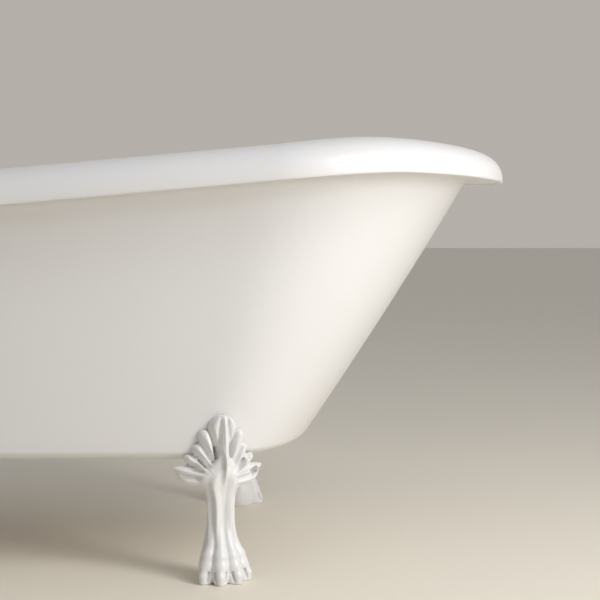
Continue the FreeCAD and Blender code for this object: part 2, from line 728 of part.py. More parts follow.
def make_rim_bond():
    """Bead that joins the rolled lip to the flange of the outer skin."""
    flange = LIP_RECESS + SKIN
    edge = lip_inner_ring(BOND_GAP, flange)
    wall = wall_top_ring(flange, SKIN)

    def on_flange(from_edge, rise):
        line = []
        for start, end in zip(edge, wall):
            along = (end - start).normalize()
            line.append(start + along * from_edge + Vector(0, 0, rise))
        return line

    top = 2 * FIT + BOND_HEIGHT
    rings = [on_flange(BOND_GAP, 2 * FIT), on_flange(BOND_LEAN, top),
             on_flange(BOND_WIDTH, top), on_flange(BOND_WIDTH, 2 * FIT)]
    faces = [rings_surface([rings[i - 1], rings[i]], AROUND, straight=True) for i in range(4)]
    return closed_solid(faces, "rim_bond")


def board_screw_places():
    """Plan positions of the screws from the rails up into the base board."""
    span = RAIL_HEAD_END - RAIL_TAP_END - 2 * BOARD_SCREW_END
    return [(RAIL_TAP_END + BOARD_SCREW_END + span * i / (BOARD_SCREW_ROWS - 1), side * RAIL_Y)
            for i in range(BOARD_SCREW_ROWS) for side in (-1, 1)]


def make_board():
    """Base board under the basin floor, slotted round the waste."""
    half = RAIL_Y + RAIL_WEB / 2 + BOARD_OVERLAP
    low, high = RAIL_TAP_END + BOARD_OVERLAP, RAIL_HEAD_END - BOARD_OVERLAP
    board = block(low, high, -half, half, BOARD_Z, BOARD_Z + BOARD)
    corners = [edge for edge in board.Edges if abs(edge.tangentAt(edge.FirstParameter).z) > 0.9]
    board = board.makeFillet(BOARD_CORNER, corners)
    slot_end = WASTE_X
    board = board.cut(upright(BOARD_SLOT / 2, BOARD_Z - 1, BOARD_Z + BOARD + 1, slot_end, 0))
    board = board.cut(block(low - 1, slot_end, -BOARD_SLOT / 2, BOARD_SLOT / 2,
                            BOARD_Z - 1, BOARD_Z + BOARD + 1))
    for x, y in board_screw_places():
        board = board.cut(upright(BOARD_SCREW_R + FIT, BOARD_Z - 1, BOARD_Z + BOARD_SCREW_GRIP, x, y))
    return board


def make_rail(side):
    """Top-hat steel rail along the bath."""
    centre = BACK[side] * RAIL_Y
    half_web, half_all = RAIL_WEB / 2, RAIL_WEB / 2 + RAIL_LIP
    rail = block(RAIL_TAP_END, RAIL_HEAD_END, centre - half_web, centre + half_web, RAIL_Z, BOARD_Z)
    rail = rail.cut(block(RAIL_TAP_END - 1, RAIL_HEAD_END + 1, centre - half_web + RAIL_SHEET,
                          centre + half_web - RAIL_SHEET, RAIL_Z - 1, BOARD_Z - RAIL_SHEET))
    for way in (-1, 1):
        edges = sorted((centre + way * (half_web - RAIL_SHEET), centre + way * half_all))
        rail = rail.fuse(block(RAIL_TAP_END, RAIL_HEAD_END, edges[0], edges[1], RAIL_Z, LIP_TOP_Z))
    rail = rail.removeSplitter()
    for x, y in rail_bolt_places():
        if y * centre > 0:
            rail = rail.cut(upright(RAIL_BOLT_R + BOLT_CLEARANCE, RAIL_Z - 1, LIP_TOP_Z + 1, x, y))
    for x, y in board_screw_places():
        if y * centre > 0:
            rail = rail.cut(upright(BOARD_SCREW_R + FIT, LIP_TOP_Z + 1, BOARD_Z + 1, x, y))
    return rail


def make_bracket(end, side):
    """Flat steel bracket from a rail out to the tongue of a foot."""
    nose = foot_bolt_place(end, side)
    lip_middle = RAIL_WEB / 2 + RAIL_LIP / 2
    inner = BACK[side] * (RAIL_Y - lip_middle - BRACKET_MARGIN)
    outer = BACK[side] * (RAIL_Y + lip_middle + BRACKET_MARGIN)
    left, right = nose.x - BRACKET_LENGTH / 2, nose.x + BRACKET_LENGTH / 2
    plate = joined([
        block(left, right, min(inner, outer), max(inner, outer), BRACKET_Z, BOTTOM_Z),
        prism([(left, outer), (nose.x - NOSE_R, nose.y), (nose.x + NOSE_R, nose.y), (right, outer)],
              BRACKET_Z, BOTTOM_Z),
        upright(NOSE_R, BRACKET_Z, BOTTOM_Z, nose.x, nose.y)])
    for x, y in bracket_bolt_places(end, side):
        plate = plate.cut(upright(RAIL_BOLT_R + BOLT_CLEARANCE, BRACKET_Z - 1, BOTTOM_Z + 1, x, y))
    return plate.cut(upright(FOOT_BOLT_R + FIT, BRACKET_Z - 1, BOTTOM_Z + 1, nose.x, nose.y))


def bolt(radius, head_top, tip, x, y):
    """Hexagon bolt from below: head under head_top, shank up to tip."""
    head = hexagon(2 * radius * HEAD_RATIO, head_top - 2 * radius * HEAD_HEIGHT_RATIO, head_top, x, y)
    return joined([head, upright(radius, head_top - 1, tip, x, y)])


def make_fasteners():
    """Bolts, washers, nuts and screws, each kind as one group."""
    nut = 2 * RAIL_BOLT_R * NUT_HEIGHT_RATIO
    groups = {"rail_bolts": [], "rail_washers": [], "rail_nuts": [], "foot_bolts": [],
              "foot_washers": [], "board_screws": []}
    for x, y in rail_bolt_places():
        under = BRACKET_Z - WASHER
        groups["rail_bolts"].append(bolt(RAIL_BOLT_R, under, LIP_TOP_Z + nut + RAIL_BOLT_R / 2, x, y))
        groups["rail_washers"].append(
            washer_ring(2 * RAIL_BOLT_R, RAIL_BOLT_R + FIT, under, BRACKET_Z, x, y))
        nut_blank = hexagon(2 * RAIL_BOLT_R * HEAD_RATIO, LIP_TOP_Z, LIP_TOP_Z + nut, x, y)
        groups["rail_nuts"].append(
            nut_blank.cut(upright(RAIL_BOLT_R + FIT, LIP_TOP_Z - 1, LIP_TOP_Z + nut + 1, x, y)))
    for end, side in FEET:
        place = foot_bolt_place(end, side)
        under = BRACKET_Z - TONGUE - WASHER
        groups["foot_bolts"].append(bolt(FOOT_BOLT_R, under, BOTTOM_Z - BOND_GAP, place.x, place.y))
        groups["foot_washers"].append(
            washer_ring(2 * FOOT_BOLT_R, FOOT_BOLT_R + FIT, under, BRACKET_Z - TONGUE, place.x, place.y))
    for x, y in board_screw_places():
        head = upright(2 * BOARD_SCREW_R, BOARD_Z - RAIL_SHEET - BOARD_SCREW_R,
                       BOARD_Z - RAIL_SHEET, x, y)
        shank = upright(BOARD_SCREW_R, BOARD_Z - RAIL_SHEET - 1, BOARD_Z + BOARD_SCREW_GRIP, x, y)
        groups["board_screws"].append(joined([head, shank]))
    return {name: Part.makeCompound(solids) for name, solids in groups.items()}


# ================================================================ feet
# Leg and paw: height, half width, reach to the front, reach to the back, depth of the toe grooves.
LEG_STATIONS = [
    (0.0, 36.0, 37.0, 26.0, 0.17), (4.0, 40.0, 42.0, 28.0, 0.17), (12.0, 42.0, 44.0, 29.0, 0.17),
    (24.0, 40.0, 42.0, 28.0, 0.15), (38.0, 35.0, 35.0, 26.0, 0.12), (52.0, 28.5, 28.0, 23.0, 0.08),
    (66.0, 24.0, 23.0, 20.5, 0.06), (80.0, 21.0, 20.0, 18.5, 0.05), (95.0, 19.5, 18.5, 17.5, 0.05),
    (110.0, 20.0, 18.5, 17.5, 0.05), (125.0, 22.0, 19.0, 17.5, 0.05), (140.0, 26.0, 21.0, 17.0, 0.04),
    (152.0, 28.0, 23.0, 15.0, 0.03), (163.0, 25.0, 22.5, 6.0, 0.0), (173.0, 19.0, 22.5, -5.0, 0.0),
    (182.0, 13.0, 22.5, -13.5, 0.0), (192.0, 7.0, 21.0, -15.0, 0.0)]
LEG_POINTS = 72
FAN_POINTS = 96
# Leaves of the fan on one side: degrees from the top, and length as a share of the middle leaf.
LEAVES = [(0.0, 1.0), (17.0, 0.91), (34.0, 0.76), (51.0, 0.71), (70.0, 0.75), (90.0, 0.64),
          (108.0, 0.34), (126.0, 0.27), (180.0, 0.22)]
LEAF_COUNT = 5                # leaves past the middle one on each side
WALL_STEP = 10.0              # heights at which the fan's back follows the bath wall
WALL_STEPS = 8


def make_leg():
    """Leg with four toes at its foot, standing on the origin."""
    rings = []
    for z, half_width, front, back, groove in LEG_STATIONS:
        ring = []
        for i in range(LEG_POINTS):
            angle = 2 * math.pi * i / LEG_POINTS
            lateral, ahead = math.sin(angle), math.cos(angle)
            reach = front if ahead > 0 else back
            from_front = abs(math.degrees(math.atan2(lateral, ahead)))
            swell = 1.0
            if from_front < 2 * TOE_SPREAD:
                swell = 1 - groove * (1 - abs(math.sin(math.radians(from_front * 180 / TOE_SPREAD))) ** 0.6)
            middle = (back - front) / 2 if back < 0 else 0.0
            ring.append(Vector(half_width * lateral * swell,
                               -(reach * ahead if back >= 0 else (front + back) / 2 * ahead) * swell
                               + middle, z))
        rings.append(ring)
    return ring_stack(rings, "leg")


def wall_line(end, z):
    """The bath wall near a near-side foot at height z, as (sideways, y) points in the foot's own frame."""
    turn = Rotation(Vector(0, 0, 1), -foot_rotation(end, "near"))
    line = []
    for x, y in outer_wall(z, finer=6):
        local = turn.multVec(Vector(x, y, 0) - foot_centre(end, "near"))
        if abs(local.x) < 2 * FAN_TOP_HEIGHT and abs(local.y) < FAN_TOP_HEIGHT:
            line.append((local.x, local.y))
    return sorted(line)


def wall_ahead(line, sideways):
    """The wall's y at one sideways place."""
    for (x0, y0), (x1, y1) in zip(line, line[1:]):
        if x0 <= sideways <= x1:
            return y0 + (y1 - y0) * (sideways - x0) / max(x1 - x0, FIT)
    return line[0][1] if sideways < 0 else line[-1][1]


def make_fan(end):
    """Fan of leaves that lies against the bath wall above the leg."""
    heights = [BOTTOM_Z + CORNER_HEIGHT + WALL_STEP * i for i in range(WALL_STEPS)]
    lines = [wall_line(end, z) for z in heights]

    def back_of_fan(sideways, z):
        step = (max(z, heights[0]) - heights[0]) / WALL_STEP
        low = min(int(step), len(heights) - 2)
        below = wall_ahead(lines[low], sideways)
        above = wall_ahead(lines[low + 1], sideways)
        return below + (above - below) * (step - low) - FOOT_WALL_GAP

    def leaf(angle):
        """Length of the fan towards an angle, and 1 on a ridge or 0 in a notch."""
        angle = abs((angle + 180.0) % 360.0 - 180.0)
        for (low, low_size), (high, high_size) in zip(LEAVES, LEAVES[1:]):
            if angle <= high:
                share = (angle - low) / (high - low)
                size = low_size + (high_size - low_size) * share
                ridge = abs(math.cos(math.pi * share)) if angle <= LEAVES[LEAF_COUNT][0] else 0.0
                notch = FAN_NOTCH * (1 - ridge) if angle <= LEAVES[LEAF_COUNT][0] else 0.0
                return FAN_TOP_HEIGHT * size * (1 - notch), ridge
        return FAN_TOP_HEIGHT * LEAVES[-1][1], 0.0

    def ring(share, depth):
        """Ring of the fan: depth is 0 on its back, 1 on its front."""
        line = []
        for i in range(FAN_POINTS):
            angle = 360.0 * i / FAN_POINTS
            size, ridge = leaf(angle)
            sideways = share * size * math.sin(math.radians(angle))
            z = FAN_CENTRE_Z + share * size * math.cos(math.radians(angle))
            swell = math.sin(math.pi * min(share, FAN_SHARES[-1])) ** 0.5
            off_middle = min(angle, 360.0 - angle) / FAN_KEEL_HALF_ANGLE
            keel = FAN_KEEL * max(0.0, 1 - off_middle)
            thickness = FAN_EDGE + (FAN_MIDDLE - FAN_EDGE) * (1 - share)
            thickness += (FAN_RELIEF * ridge + keel) * swell
            line.append(Vector(sideways, back_of_fan(sideways, z) - depth * thickness, z))
        if share == FAN_CORE:
            core = FAN_CORE * FAN_TOP_HEIGHT
            tilt = (back_of_fan(core, FAN_CENTRE_Z) - back_of_fan(-core, FAN_CENTRE_Z)) / (2 * core)
            levels = [p.y - tilt * p.x for p in line]
            level = max(levels) if depth else min(levels)
            line = [Vector(p.x, level + tilt * p.x, p.z) for p in line]
        return line

    rings = [ring(share, 0.0) for share in FAN_SHARES]
    rings.append(ring(1.0, FAN_BACK_EDGE))
    rings += [ring(share, 1.0) for share in reversed(FAN_SHARES)]
    return ring_stack(rings, "fan", chord_parameters(rings[2]))


def make_foot(end):
    """Cast foot: leg, fan, and the tongue that the bath rests on."""
    tongue_low = BRACKET_Z - TONGUE
    tongue = block(-TONGUE_WIDTH / 2, TONGUE_WIDTH / 2, 0, TONGUE_REACH - TONGUE_WIDTH / 2,
                   tongue_low, BRACKET_Z)
    tip = upright(TONGUE_WIDTH / 2, tongue_low, BRACKET_Z, 0, TONGUE_REACH - TONGUE_WIDTH / 2)
    foot = make_leg().fuse([make_fan(end), tongue, tip])
    bolt_hole = upright(FOOT_BOLT_R + BOLT_CLEARANCE, tongue_low - 1, BRACKET_Z + 1, 0, FOOT_BOLT_BACK)
    pocket = upright(PAD_POCKET_R, -1, PAD_POCKET_HEIGHT, 0, 0)
    thread = upright(LEVELLER_R + FIT, 0, STUD_TOP_Z + PAD_HEIGHT, 0, 0)
    foot = foot.cut([bolt_hole, pocket, thread])
    for way in (-1, 1):
        edges = sorted((way * WINDOW_SIDE, way * (WINDOW_SIDE + WINDOW_WIDTH)))
        foot = foot.cut(block(edges[0], edges[1], -FAN_TOP_HEIGHT, FAN_TOP_HEIGHT,
                              WINDOW_Z, WINDOW_Z + WINDOW_HEIGHT))
    return foot.Solids[0]


def make_leveller_parts():
    """Screwed stud and the pad on its lower end, in the foot's own frame."""
    pad_top = LEVELLER_LIFT + PAD_HEIGHT
    stud = upright(LEVELLER_R, LEVELLER_LIFT + PAD_HEIGHT / 2, STUD_TOP_Z, 0, 0)
    pad = hexagon(2 * PAD_R * math.cos(math.pi / 6), pad_top - PAD_HEIGHT / 2, pad_top, 0, 0)
    pad = joined([upright(PAD_R, LEVELLER_LIFT, pad_top - PAD_HEIGHT / 2, 0, 0), pad])
    return stud, pad.cut(upright(LEVELLER_R + FIT, LEVELLER_LIFT + PAD_HEIGHT / 2, pad_top + 1, 0, 0))


# ================================================================ waste
FLANGE_LOW = FLOOR_Z + WASTE_SEAT + GASKET
FLANGE_TOP = FLANGE_LOW + WASTE_FLANGE
BODY_TOP = FLOOR_Z - SHELL - GASKET
BODY_LOW = INLET_Z - INLET_R - 2 * WASTE_WALL
NECK_LOW = BODY_TOP - 4 * WASTE_WALL
PLUG_BASE = FLANGE_TOP + PLUG_SEAL
LEVER_X = -LEVER_ARM           # the lever's shaft, from the waste's axis
LEVER_Z = INLET_Z - INLET_R + LEVER_TIP_R
CRANK_Y = LEVER_BUSH_OUT + BOND_GAP
CABLE_Z = LEVER_Z + LEVER_CRANK
STEM_LOW = LEVER_Z + LEVER_TIP_R + LEVER_GAP


def at_waste(shape):
    """Shape moved from the Z axis to the waste's axis."""
    shape.translate(Vector(WASTE_X, 0, 0))
    return shape


def make_waste_flange():
    """Flange in the basin floor with its tube and the guide of the plug's stem."""
    bore = WASTE_TUBE_R - WASTE_WALL
    flange = revolved([(bore, NECK_LOW), (WASTE_TUBE_R, NECK_LOW), (WASTE_TUBE_R, FLANGE_LOW),
                       (WASTE_FLANGE_R, FLANGE_LOW), (WASTE_FLANGE_R, FLANGE_TOP - EDGE_BREAK),
                       (WASTE_FLANGE_R - EDGE_BREAK, FLANGE_TOP), (bore + EDGE_BREAK, FLANGE_TOP),
                       (bore, FLANGE_TOP - EDGE_BREAK)])
    return joined([flange] + spoked_guide(PLUG_STEM_R, bore, FLOOR_Z - SHELL, FLOOR_Z, 0.0))


def make_waste_body():
    """Body under the basin with its outlet, hose spigot, lever bush and the lug for the cable."""
    inside = WASTE_BODY_R - WASTE_WALL
    seat = WASTE_TUBE_R + FIT
    body = revolved([(seat, BODY_TOP), (WASTE_COLLAR_R, BODY_TOP), (WASTE_COLLAR_R, BODY_TOP - WASTE_WALL),
                     (WASTE_BODY_R, BODY_TOP - WASTE_WALL), (WASTE_BODY_R, BODY_LOW),
                     (OUTLET_R, BODY_LOW - WASTE_WALL), (OUTLET_R, OUTLET_Z), (OUTLET_BORE_R, OUTLET_Z),
                     (OUTLET_BORE_R, BODY_LOW), (inside, BODY_LOW + WASTE_WALL), (inside, NECK_LOW),
                     (seat, NECK_LOW)])
    spigot = Part.makeCylinder(INLET_R, SPIGOT + WASTE_WALL, Vector(-inside, 0, INLET_Z), Vector(-1, 0, 0))
    spigot_bore = Part.makeCylinder(INLET_R - HOSE_WALL, 3 * SPIGOT,
                                    Vector(WASTE_WALL - inside, 0, INLET_Z), Vector(-1, 0, 0))
    bush = along_y(LEVER_SHAFT_R + WASTE_WALL, LEVER_BUSH_IN, LEVER_BUSH_OUT, LEVER_X, LEVER_Z)
    bush = bush.cut(upright(inside, BODY_LOW, BODY_TOP, 0, 0))
    shaft_hole = along_y(LEVER_SHAFT_R + FIT, 0, WASTE_COLLAR_R, LEVER_X, LEVER_Z)
    lug_half = CABLE_R + WASTE_WALL
    lug_end = CABLE_STOP_X - CABLE_STOP
    lug_low = INLET_R + HOSE_WALL + HOSE_CLIP + WASTE_WALL / 2
    lug = prism([(lug_end, lug_low), (-inside + CABLE_STOP / 2, lug_low),
                 (-inside + CABLE_STOP / 2, inside - WASTE_WALL), (CABLE_STOP_X, inside),
                 (CABLE_STOP_X, CRANK_Y + CRANK / 2 + lug_half), (lug_end, CRANK_Y + CRANK / 2 + lug_half)],
                CABLE_Z - lug_half, CABLE_Z + lug_half)
    lug = lug.cut(upright(inside, CABLE_Z - 2 * lug_half, CABLE_Z + 2 * lug_half, 0, 0))
    cable_hole = Part.makeCylinder(CABLE_R + FIT, 3 * CABLE_STOP,
                                   Vector(lug_end - CABLE_STOP, CRANK_Y + CRANK / 2, CABLE_Z),
                                   Vector(1, 0, 0))
    return body.fuse([spigot, bush, lug]).cut([spigot_bore, shaft_hole, cable_hole])


def make_plug():
    """Cap, stem and seal of the pop-up plug."""
    low, high = PLUG_BASE, PLUG_BASE + PLUG_CAP
    socket = PLUG_STEM_R + FIT
    cap_turned = revolved([(socket, low), (PLUG_R - EDGE_BREAK, low), (PLUG_R, low + EDGE_BREAK / 2),
                           (PLUG_R, high - PLUG_SHOULDER), (PLUG_R - EDGE_BREAK, high - EDGE_BREAK / 2),
                           (PLUG_R / 2, high + PLUG_CROWN / 2), (0, high + PLUG_CROWN),
                           (0, high - EDGE_BREAK), (socket, high - EDGE_BREAK)])
    stem = upright(PLUG_STEM_R, STEM_LOW, high - EDGE_BREAK, 0, 0)
    seal = washer_ring(PLUG_R - WASTE_WALL, socket, FLANGE_TOP + BOND_GAP, low, 0, 0)
    return cap_turned, stem, seal


def make_waste():
    """Pieces of the waste: flange, gaskets, body, plug and its lever."""
    upper = washer_ring(WASTE_FLANGE_R - EDGE_BREAK, WASTE_HOLE_R, FLOOR_Z + WASTE_SEAT, FLANGE_LOW, 0, 0)
    lower = washer_ring(WASTE_COLLAR_R, WASTE_HOLE_R, BODY_TOP, FLOOR_Z - SHELL, 0, 0)
    plug_cap, plug_stem, plug_seal = make_plug()
    pieces = {"waste_flange": make_waste_flange(), "waste_gasket_upper": upper,
              "waste_gasket_lower": lower, "waste_body": make_waste_body(), "plug_cap": plug_cap,
              "plug_stem": plug_stem, "plug_seal": plug_seal, "plug_lift_lever": make_lever()}
    return {name: at_waste(shape) for name, shape in pieces.items()}


def make_lever():
    """Lever that lifts the plug: arm and tip inside the body, shaft through its bush, crank outside."""
    arm = block(LEVER_X, 0, -LEVER_TIP_R, LEVER_TIP_R, LEVER_Z - LEVER_TIP_R / 2, LEVER_Z + LEVER_TIP_R / 2)
    crank = block(LEVER_X - LEVER_SHAFT_R, LEVER_X + LEVER_SHAFT_R, CRANK_Y, CRANK_Y + CRANK,
                  LEVER_Z, CABLE_Z)
    return joined([along_y(LEVER_TIP_R, -LEVER_TIP_R, LEVER_TIP_R, 0, LEVER_Z), arm,
                   along_y(LEVER_SHAFT_R, -LEVER_TIP_R, CRANK_Y + CRANK, LEVER_X, LEVER_Z), crank,
                   along_y(LEVER_SHAFT_R, CRANK_Y, CRANK_Y + CRANK, LEVER_X, CABLE_Z)])


# ================================================================ overflow
FACE_LOW = OVERFLOW_STANDOFF
FACE_TOP = FACE_LOW + OVERFLOW_FACE
OVERFLOW_TOP = -SHELL - OVERFLOW_STANDOFF - GASKET
OVERFLOW_LOW = OVERFLOW_TOP - OVERFLOW_DEPTH
KNOB_LOW = FACE_TOP + KNOB_GAP
KNOB_TOP = KNOB_LOW + KNOB_DEPTH


def make_overflow_face():
    """Face plate with its tube and the guide of the spindle."""
    bore = OVERFLOW_TUBE_R - HOSE_WALL
    tube_low = OVERFLOW_TOP - 3 * WASTE_WALL
    face = revolved([(bore, tube_low), (OVERFLOW_TUBE_R, tube_low), (OVERFLOW_TUBE_R, FACE_LOW),
                     (OVERFLOW_FACE_R, FACE_LOW), (OVERFLOW_FACE_R, FACE_TOP - EDGE_BREAK),
                     (OVERFLOW_FACE_R - EDGE_BREAK, FACE_TOP), (bore, FACE_TOP)])
    return joined([face] + spoked_guide(SPINDLE_R, bore, FACE_LOW - WASTE_WALL, FACE_TOP, 90.0))


def make_knob():
    """Turning knob with grip hollows round its edge."""
    socket = SPINDLE_R + FIT
    knob = revolved([(socket, KNOB_LOW), (KNOB_R - EDGE_BREAK, KNOB_LOW), (KNOB_R, KNOB_LOW + EDGE_BREAK),
                     (KNOB_R, KNOB_TOP - 2 * EDGE_BREAK), (KNOB_R - 2 * EDGE_BREAK, KNOB_TOP),
                     (0, KNOB_TOP + EDGE_BREAK / 2), (0, KNOB_TOP - 2 * EDGE_BREAK),
                     (socket, KNOB_TOP - 2 * EDGE_BREAK)])
    for i in range(KNOB_GRIPS):
        angle = 2 * math.pi * i / KNOB_GRIPS
        place = KNOB_R + KNOB_GRIP_R / 2
        knob = knob.cut(upright(KNOB_GRIP_R, KNOB_LOW - 1, KNOB_TOP + 2 * EDGE_BREAK,
                                place * math.cos(angle), place * math.sin(angle)))
    return knob


def make_spindle():
    """Spindle from the knob to its cross key inside the overflow body."""
    key_top = OVERFLOW_TOP - WASTE_WALL
    key_low = key_top - WASTE_WALL
    key = block(-SPINDLE_KEY, SPINDLE_KEY, -SPINDLE_R / 2, SPINDLE_R / 2, key_low, key_top)
    return joined([upright(SPINDLE_R, key_low, KNOB_TOP - 2 * EDGE_BREAK, 0, 0), key])


def make_overflow_body():
    """Body behind the basin wall with the spigot for the hose and the hole for the cable."""
    outside = OVERFLOW_TUBE_R + WASTE_WALL
    inside = OVERFLOW_TUBE_R + FIT
    body = revolved([(inside, OVERFLOW_TOP), (OVERFLOW_FACE_R, OVERFLOW_TOP),
                     (OVERFLOW_FACE_R, OVERFLOW_TOP - WASTE_WALL), (outside, OVERFLOW_TOP - WASTE_WALL),
                     (outside, OVERFLOW_LOW), (0, OVERFLOW_LOW), (0, OVERFLOW_LOW + WASTE_WALL),
                     (inside, OVERFLOW_LOW + WASTE_WALL)])
    hollow = at_overflow(upright(inside, OVERFLOW_LOW + WASTE_WALL, OVERFLOW_TOP + 1, 0, 0))
    middle = at_overflow(Part.Vertex(0, 0, (OVERFLOW_TOP + OVERFLOW_LOW) / 2)).Point
    spigot = upright(INLET_R, HOSE_TOP_Z - SPIGOT, middle.z, HOSE_TOP_X, 0)
    spigot_bore = upright(INLET_R - HOSE_WALL, HOSE_TOP_Z - 2 * SPIGOT, middle.z, HOSE_TOP_X, 0)
    cable_hole = upright(CABLE_R + FIT, CABLE_TOP.z - CABLE_DROP, middle.z, CABLE_TOP.x, CABLE_TOP.y)
    return at_overflow(body).fuse(spigot.cut(hollow)).cut([spigot_bore, cable_hole])


def make_overflow():
    """Pieces of the overflow, whose own frame has +Z out of the basin wall."""
    gasket = washer_ring(OVERFLOW_FACE_R, OVERFLOW_HOLE_R, OVERFLOW_TOP, -SHELL - BOND_GAP, 0, 0)
    pieces = {"overflow_face": make_overflow_face(), "overflow_gasket": gasket,
              "overflow_knob": make_knob(), "overflow_spindle": make_spindle()}
    placed = {name: at_overflow(shape) for name, shape in pieces.items()}
    placed["overflow_body"] = make_overflow_body()
    return placed


def make_hose():
    """Hose from the overflow down behind the basin to the waste, and the clip at each end."""
    end_x = WASTE_X - WASTE_BODY_R
    top = Vector(HOSE_TOP_X, 0, HOSE_TOP_Z)
    path = bent_path([top, top - Vector(0, 0, 2 * SPIGOT), Vector(HOSE_BEND[0], 0, HOSE_BEND[1]),
                      Vector(HOSE_CORNER_X, 0, INLET_Z), Vector(end_x, 0, INLET_Z)], HOSE_RADII)
    outer = INLET_R + HOSE_WALL
    clips = []
    for place, along in ((top - Vector(0, 0, CLIP_BACK), Vector(0, 0, 1)),
                         (Vector(end_x - CLIP_BACK, 0, INLET_Z), Vector(1, 0, 0))):
        ring = Part.makeCylinder(outer + HOSE_CLIP, SPIGOT / 2, place, along)
        clips.append(ring.cut(Part.makeCylinder(outer + FIT, SPIGOT, place - along, along)))
    return pipe(path, outer, INLET_R + FIT), Part.makeCompound(clips)


def make_cable():
    """Control cable from the overflow down beside the hose to its lug beside the lever's crank."""
    y = CRANK_Y + CRANK / 2
    route = [CABLE_TOP, CABLE_TOP - Vector(0, 0, CABLE_DROP), CABLE_BEND,
             Vector(CABLE_CORNER_X, y, CABLE_Z), Vector(WASTE_X + CABLE_STOP_X, y, CABLE_Z)]
    return pipe(bent_path(route, CABLE_RADII), CABLE_R)


# ================================================================ build
def build():
    """Every piece of the bath by its name."""
    shapes = {"bath_inner_shell": make_basin(), "bath_outer_skin": make_skin(),
              "rim_bond": make_rim_bond(), "base_board": make_board(),
              "rail_near": make_rail("near"), "rail_far": make_rail("far")}
    feet = {end: make_foot(end) for end in ("head", "tap")}
    stud, pad = make_leveller_parts()
    for end, side in FEET:
        name = end + "_" + side
        shapes["foot_bracket_" + name] = make_bracket(end, side)
        shapes["foot_" + name] = placed_foot(feet[end], end, side)
        shapes["leveller_stud_" + name] = placed_foot(stud, end, side)
        shapes["leveller_pad_" + name] = placed_foot(pad, end, side)
    shapes.update(make_fasteners())
    shapes.update(make_waste())
    shapes.update(make_overflow())
    shapes["overflow_hose"], shapes["hose_clips"] = make_hose()
    shapes["control_cable"] = make_cable()
    return shapes


for node, shape in build().items():
    shape.exportStep("parts/" + node + ".step")
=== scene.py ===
"""Looks of the free-standing slipper bath on lion's-paw feet, in metres, in the part's own frame.

X runs along the bath towards the head (high) end, the near long side faces -Y and Z is up.
"""
import bpy
import itertools
import json
import math
import numpy as np
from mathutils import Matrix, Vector


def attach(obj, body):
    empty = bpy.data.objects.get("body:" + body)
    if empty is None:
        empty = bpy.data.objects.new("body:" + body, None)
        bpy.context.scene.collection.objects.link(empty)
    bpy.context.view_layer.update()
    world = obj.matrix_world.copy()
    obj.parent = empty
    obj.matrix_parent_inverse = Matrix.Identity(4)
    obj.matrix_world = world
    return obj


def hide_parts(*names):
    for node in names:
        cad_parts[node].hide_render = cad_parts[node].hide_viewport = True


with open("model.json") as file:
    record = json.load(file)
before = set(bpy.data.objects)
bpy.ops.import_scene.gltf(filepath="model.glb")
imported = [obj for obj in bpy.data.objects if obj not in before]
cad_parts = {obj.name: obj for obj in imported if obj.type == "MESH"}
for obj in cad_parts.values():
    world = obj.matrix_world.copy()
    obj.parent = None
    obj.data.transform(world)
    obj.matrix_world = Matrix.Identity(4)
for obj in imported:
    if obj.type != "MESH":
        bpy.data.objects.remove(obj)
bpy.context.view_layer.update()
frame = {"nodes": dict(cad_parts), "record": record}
MM = 0.001

# ---------------------------------------------------------------- rim and overall size, in mm
BATH_LENGTH = 1700.0
BATH_WIDTH = 750.0
LIP_Z_HEAD = 586.6            # sharp lower edge of the rolled rim, at the head end
ROLL_HEIGHT = 53.4            # lip edge up to the crest of the roll
ROLL_WIDTH = 92.7             # lip edge in to the crest of the roll
ROLL_POWER = 2.6              # of the roll's section: 2 is an ellipse, more is fuller
RIM_SLOPE = 0.089             # fall of the rim towards the tap end, between the slope's two eased ends
SLOPE_START_X, SLOPE_START_EASE = -249.0, 60.0
SLOPE_END_X, SLOPE_END_EASE = 649.6, 24.0
HEAD_DROOP = 1.8
DROOP_SPAN = 100.0            # HEAD_DROOP is how far the lip sinks this far past the slope's end
# Each rounded end in plan: its length, and the power of its curve, where 2 is an ellipse.
LIP_HEAD_LENGTH, LIP_HEAD_POWER = 355.0, 1.8
LIP_TAP_LENGTH, LIP_TAP_POWER = 315.0, 2.2

# ---------------------------------------------------------------- outer skin, in mm
SKIN = 4.0
LIP_RECESS = 1.5              # flange above the lip's lower edge
BOND_GAP = 0.3                # between the flange and the lip
REFERENCE_Z = 540.0           # height that the walls' sizes are given at; tapers are per mm below it
BOTTOM_Z = 169.2
WALL_HALF_WIDTH, WALL_SIDE_TAPER = 302.4, 0.1016
WALL_HEAD_X, WALL_HEAD_TAPER, WALL_HEAD_BELLY = 763.6, 0.646, 4.0
WALL_HEAD_LENGTH, WALL_HEAD_LENGTH_TAPER, WALL_HEAD_POWER = 307.3, 0.424, 2.15
WALL_TAP_X, WALL_TAP_TAPER = -781.0, 0.18
WALL_TAP_LENGTH, WALL_TAP_LENGTH_TAPER, WALL_TAP_POWER = 262.0, 0.28, 2.25
CORNER_HEIGHT, CORNER_SIDE, CORNER_END = 17.3, 40.8, 38.9
FIT_STEPS = 12                # rounds that find where the sloping wall meets the flange

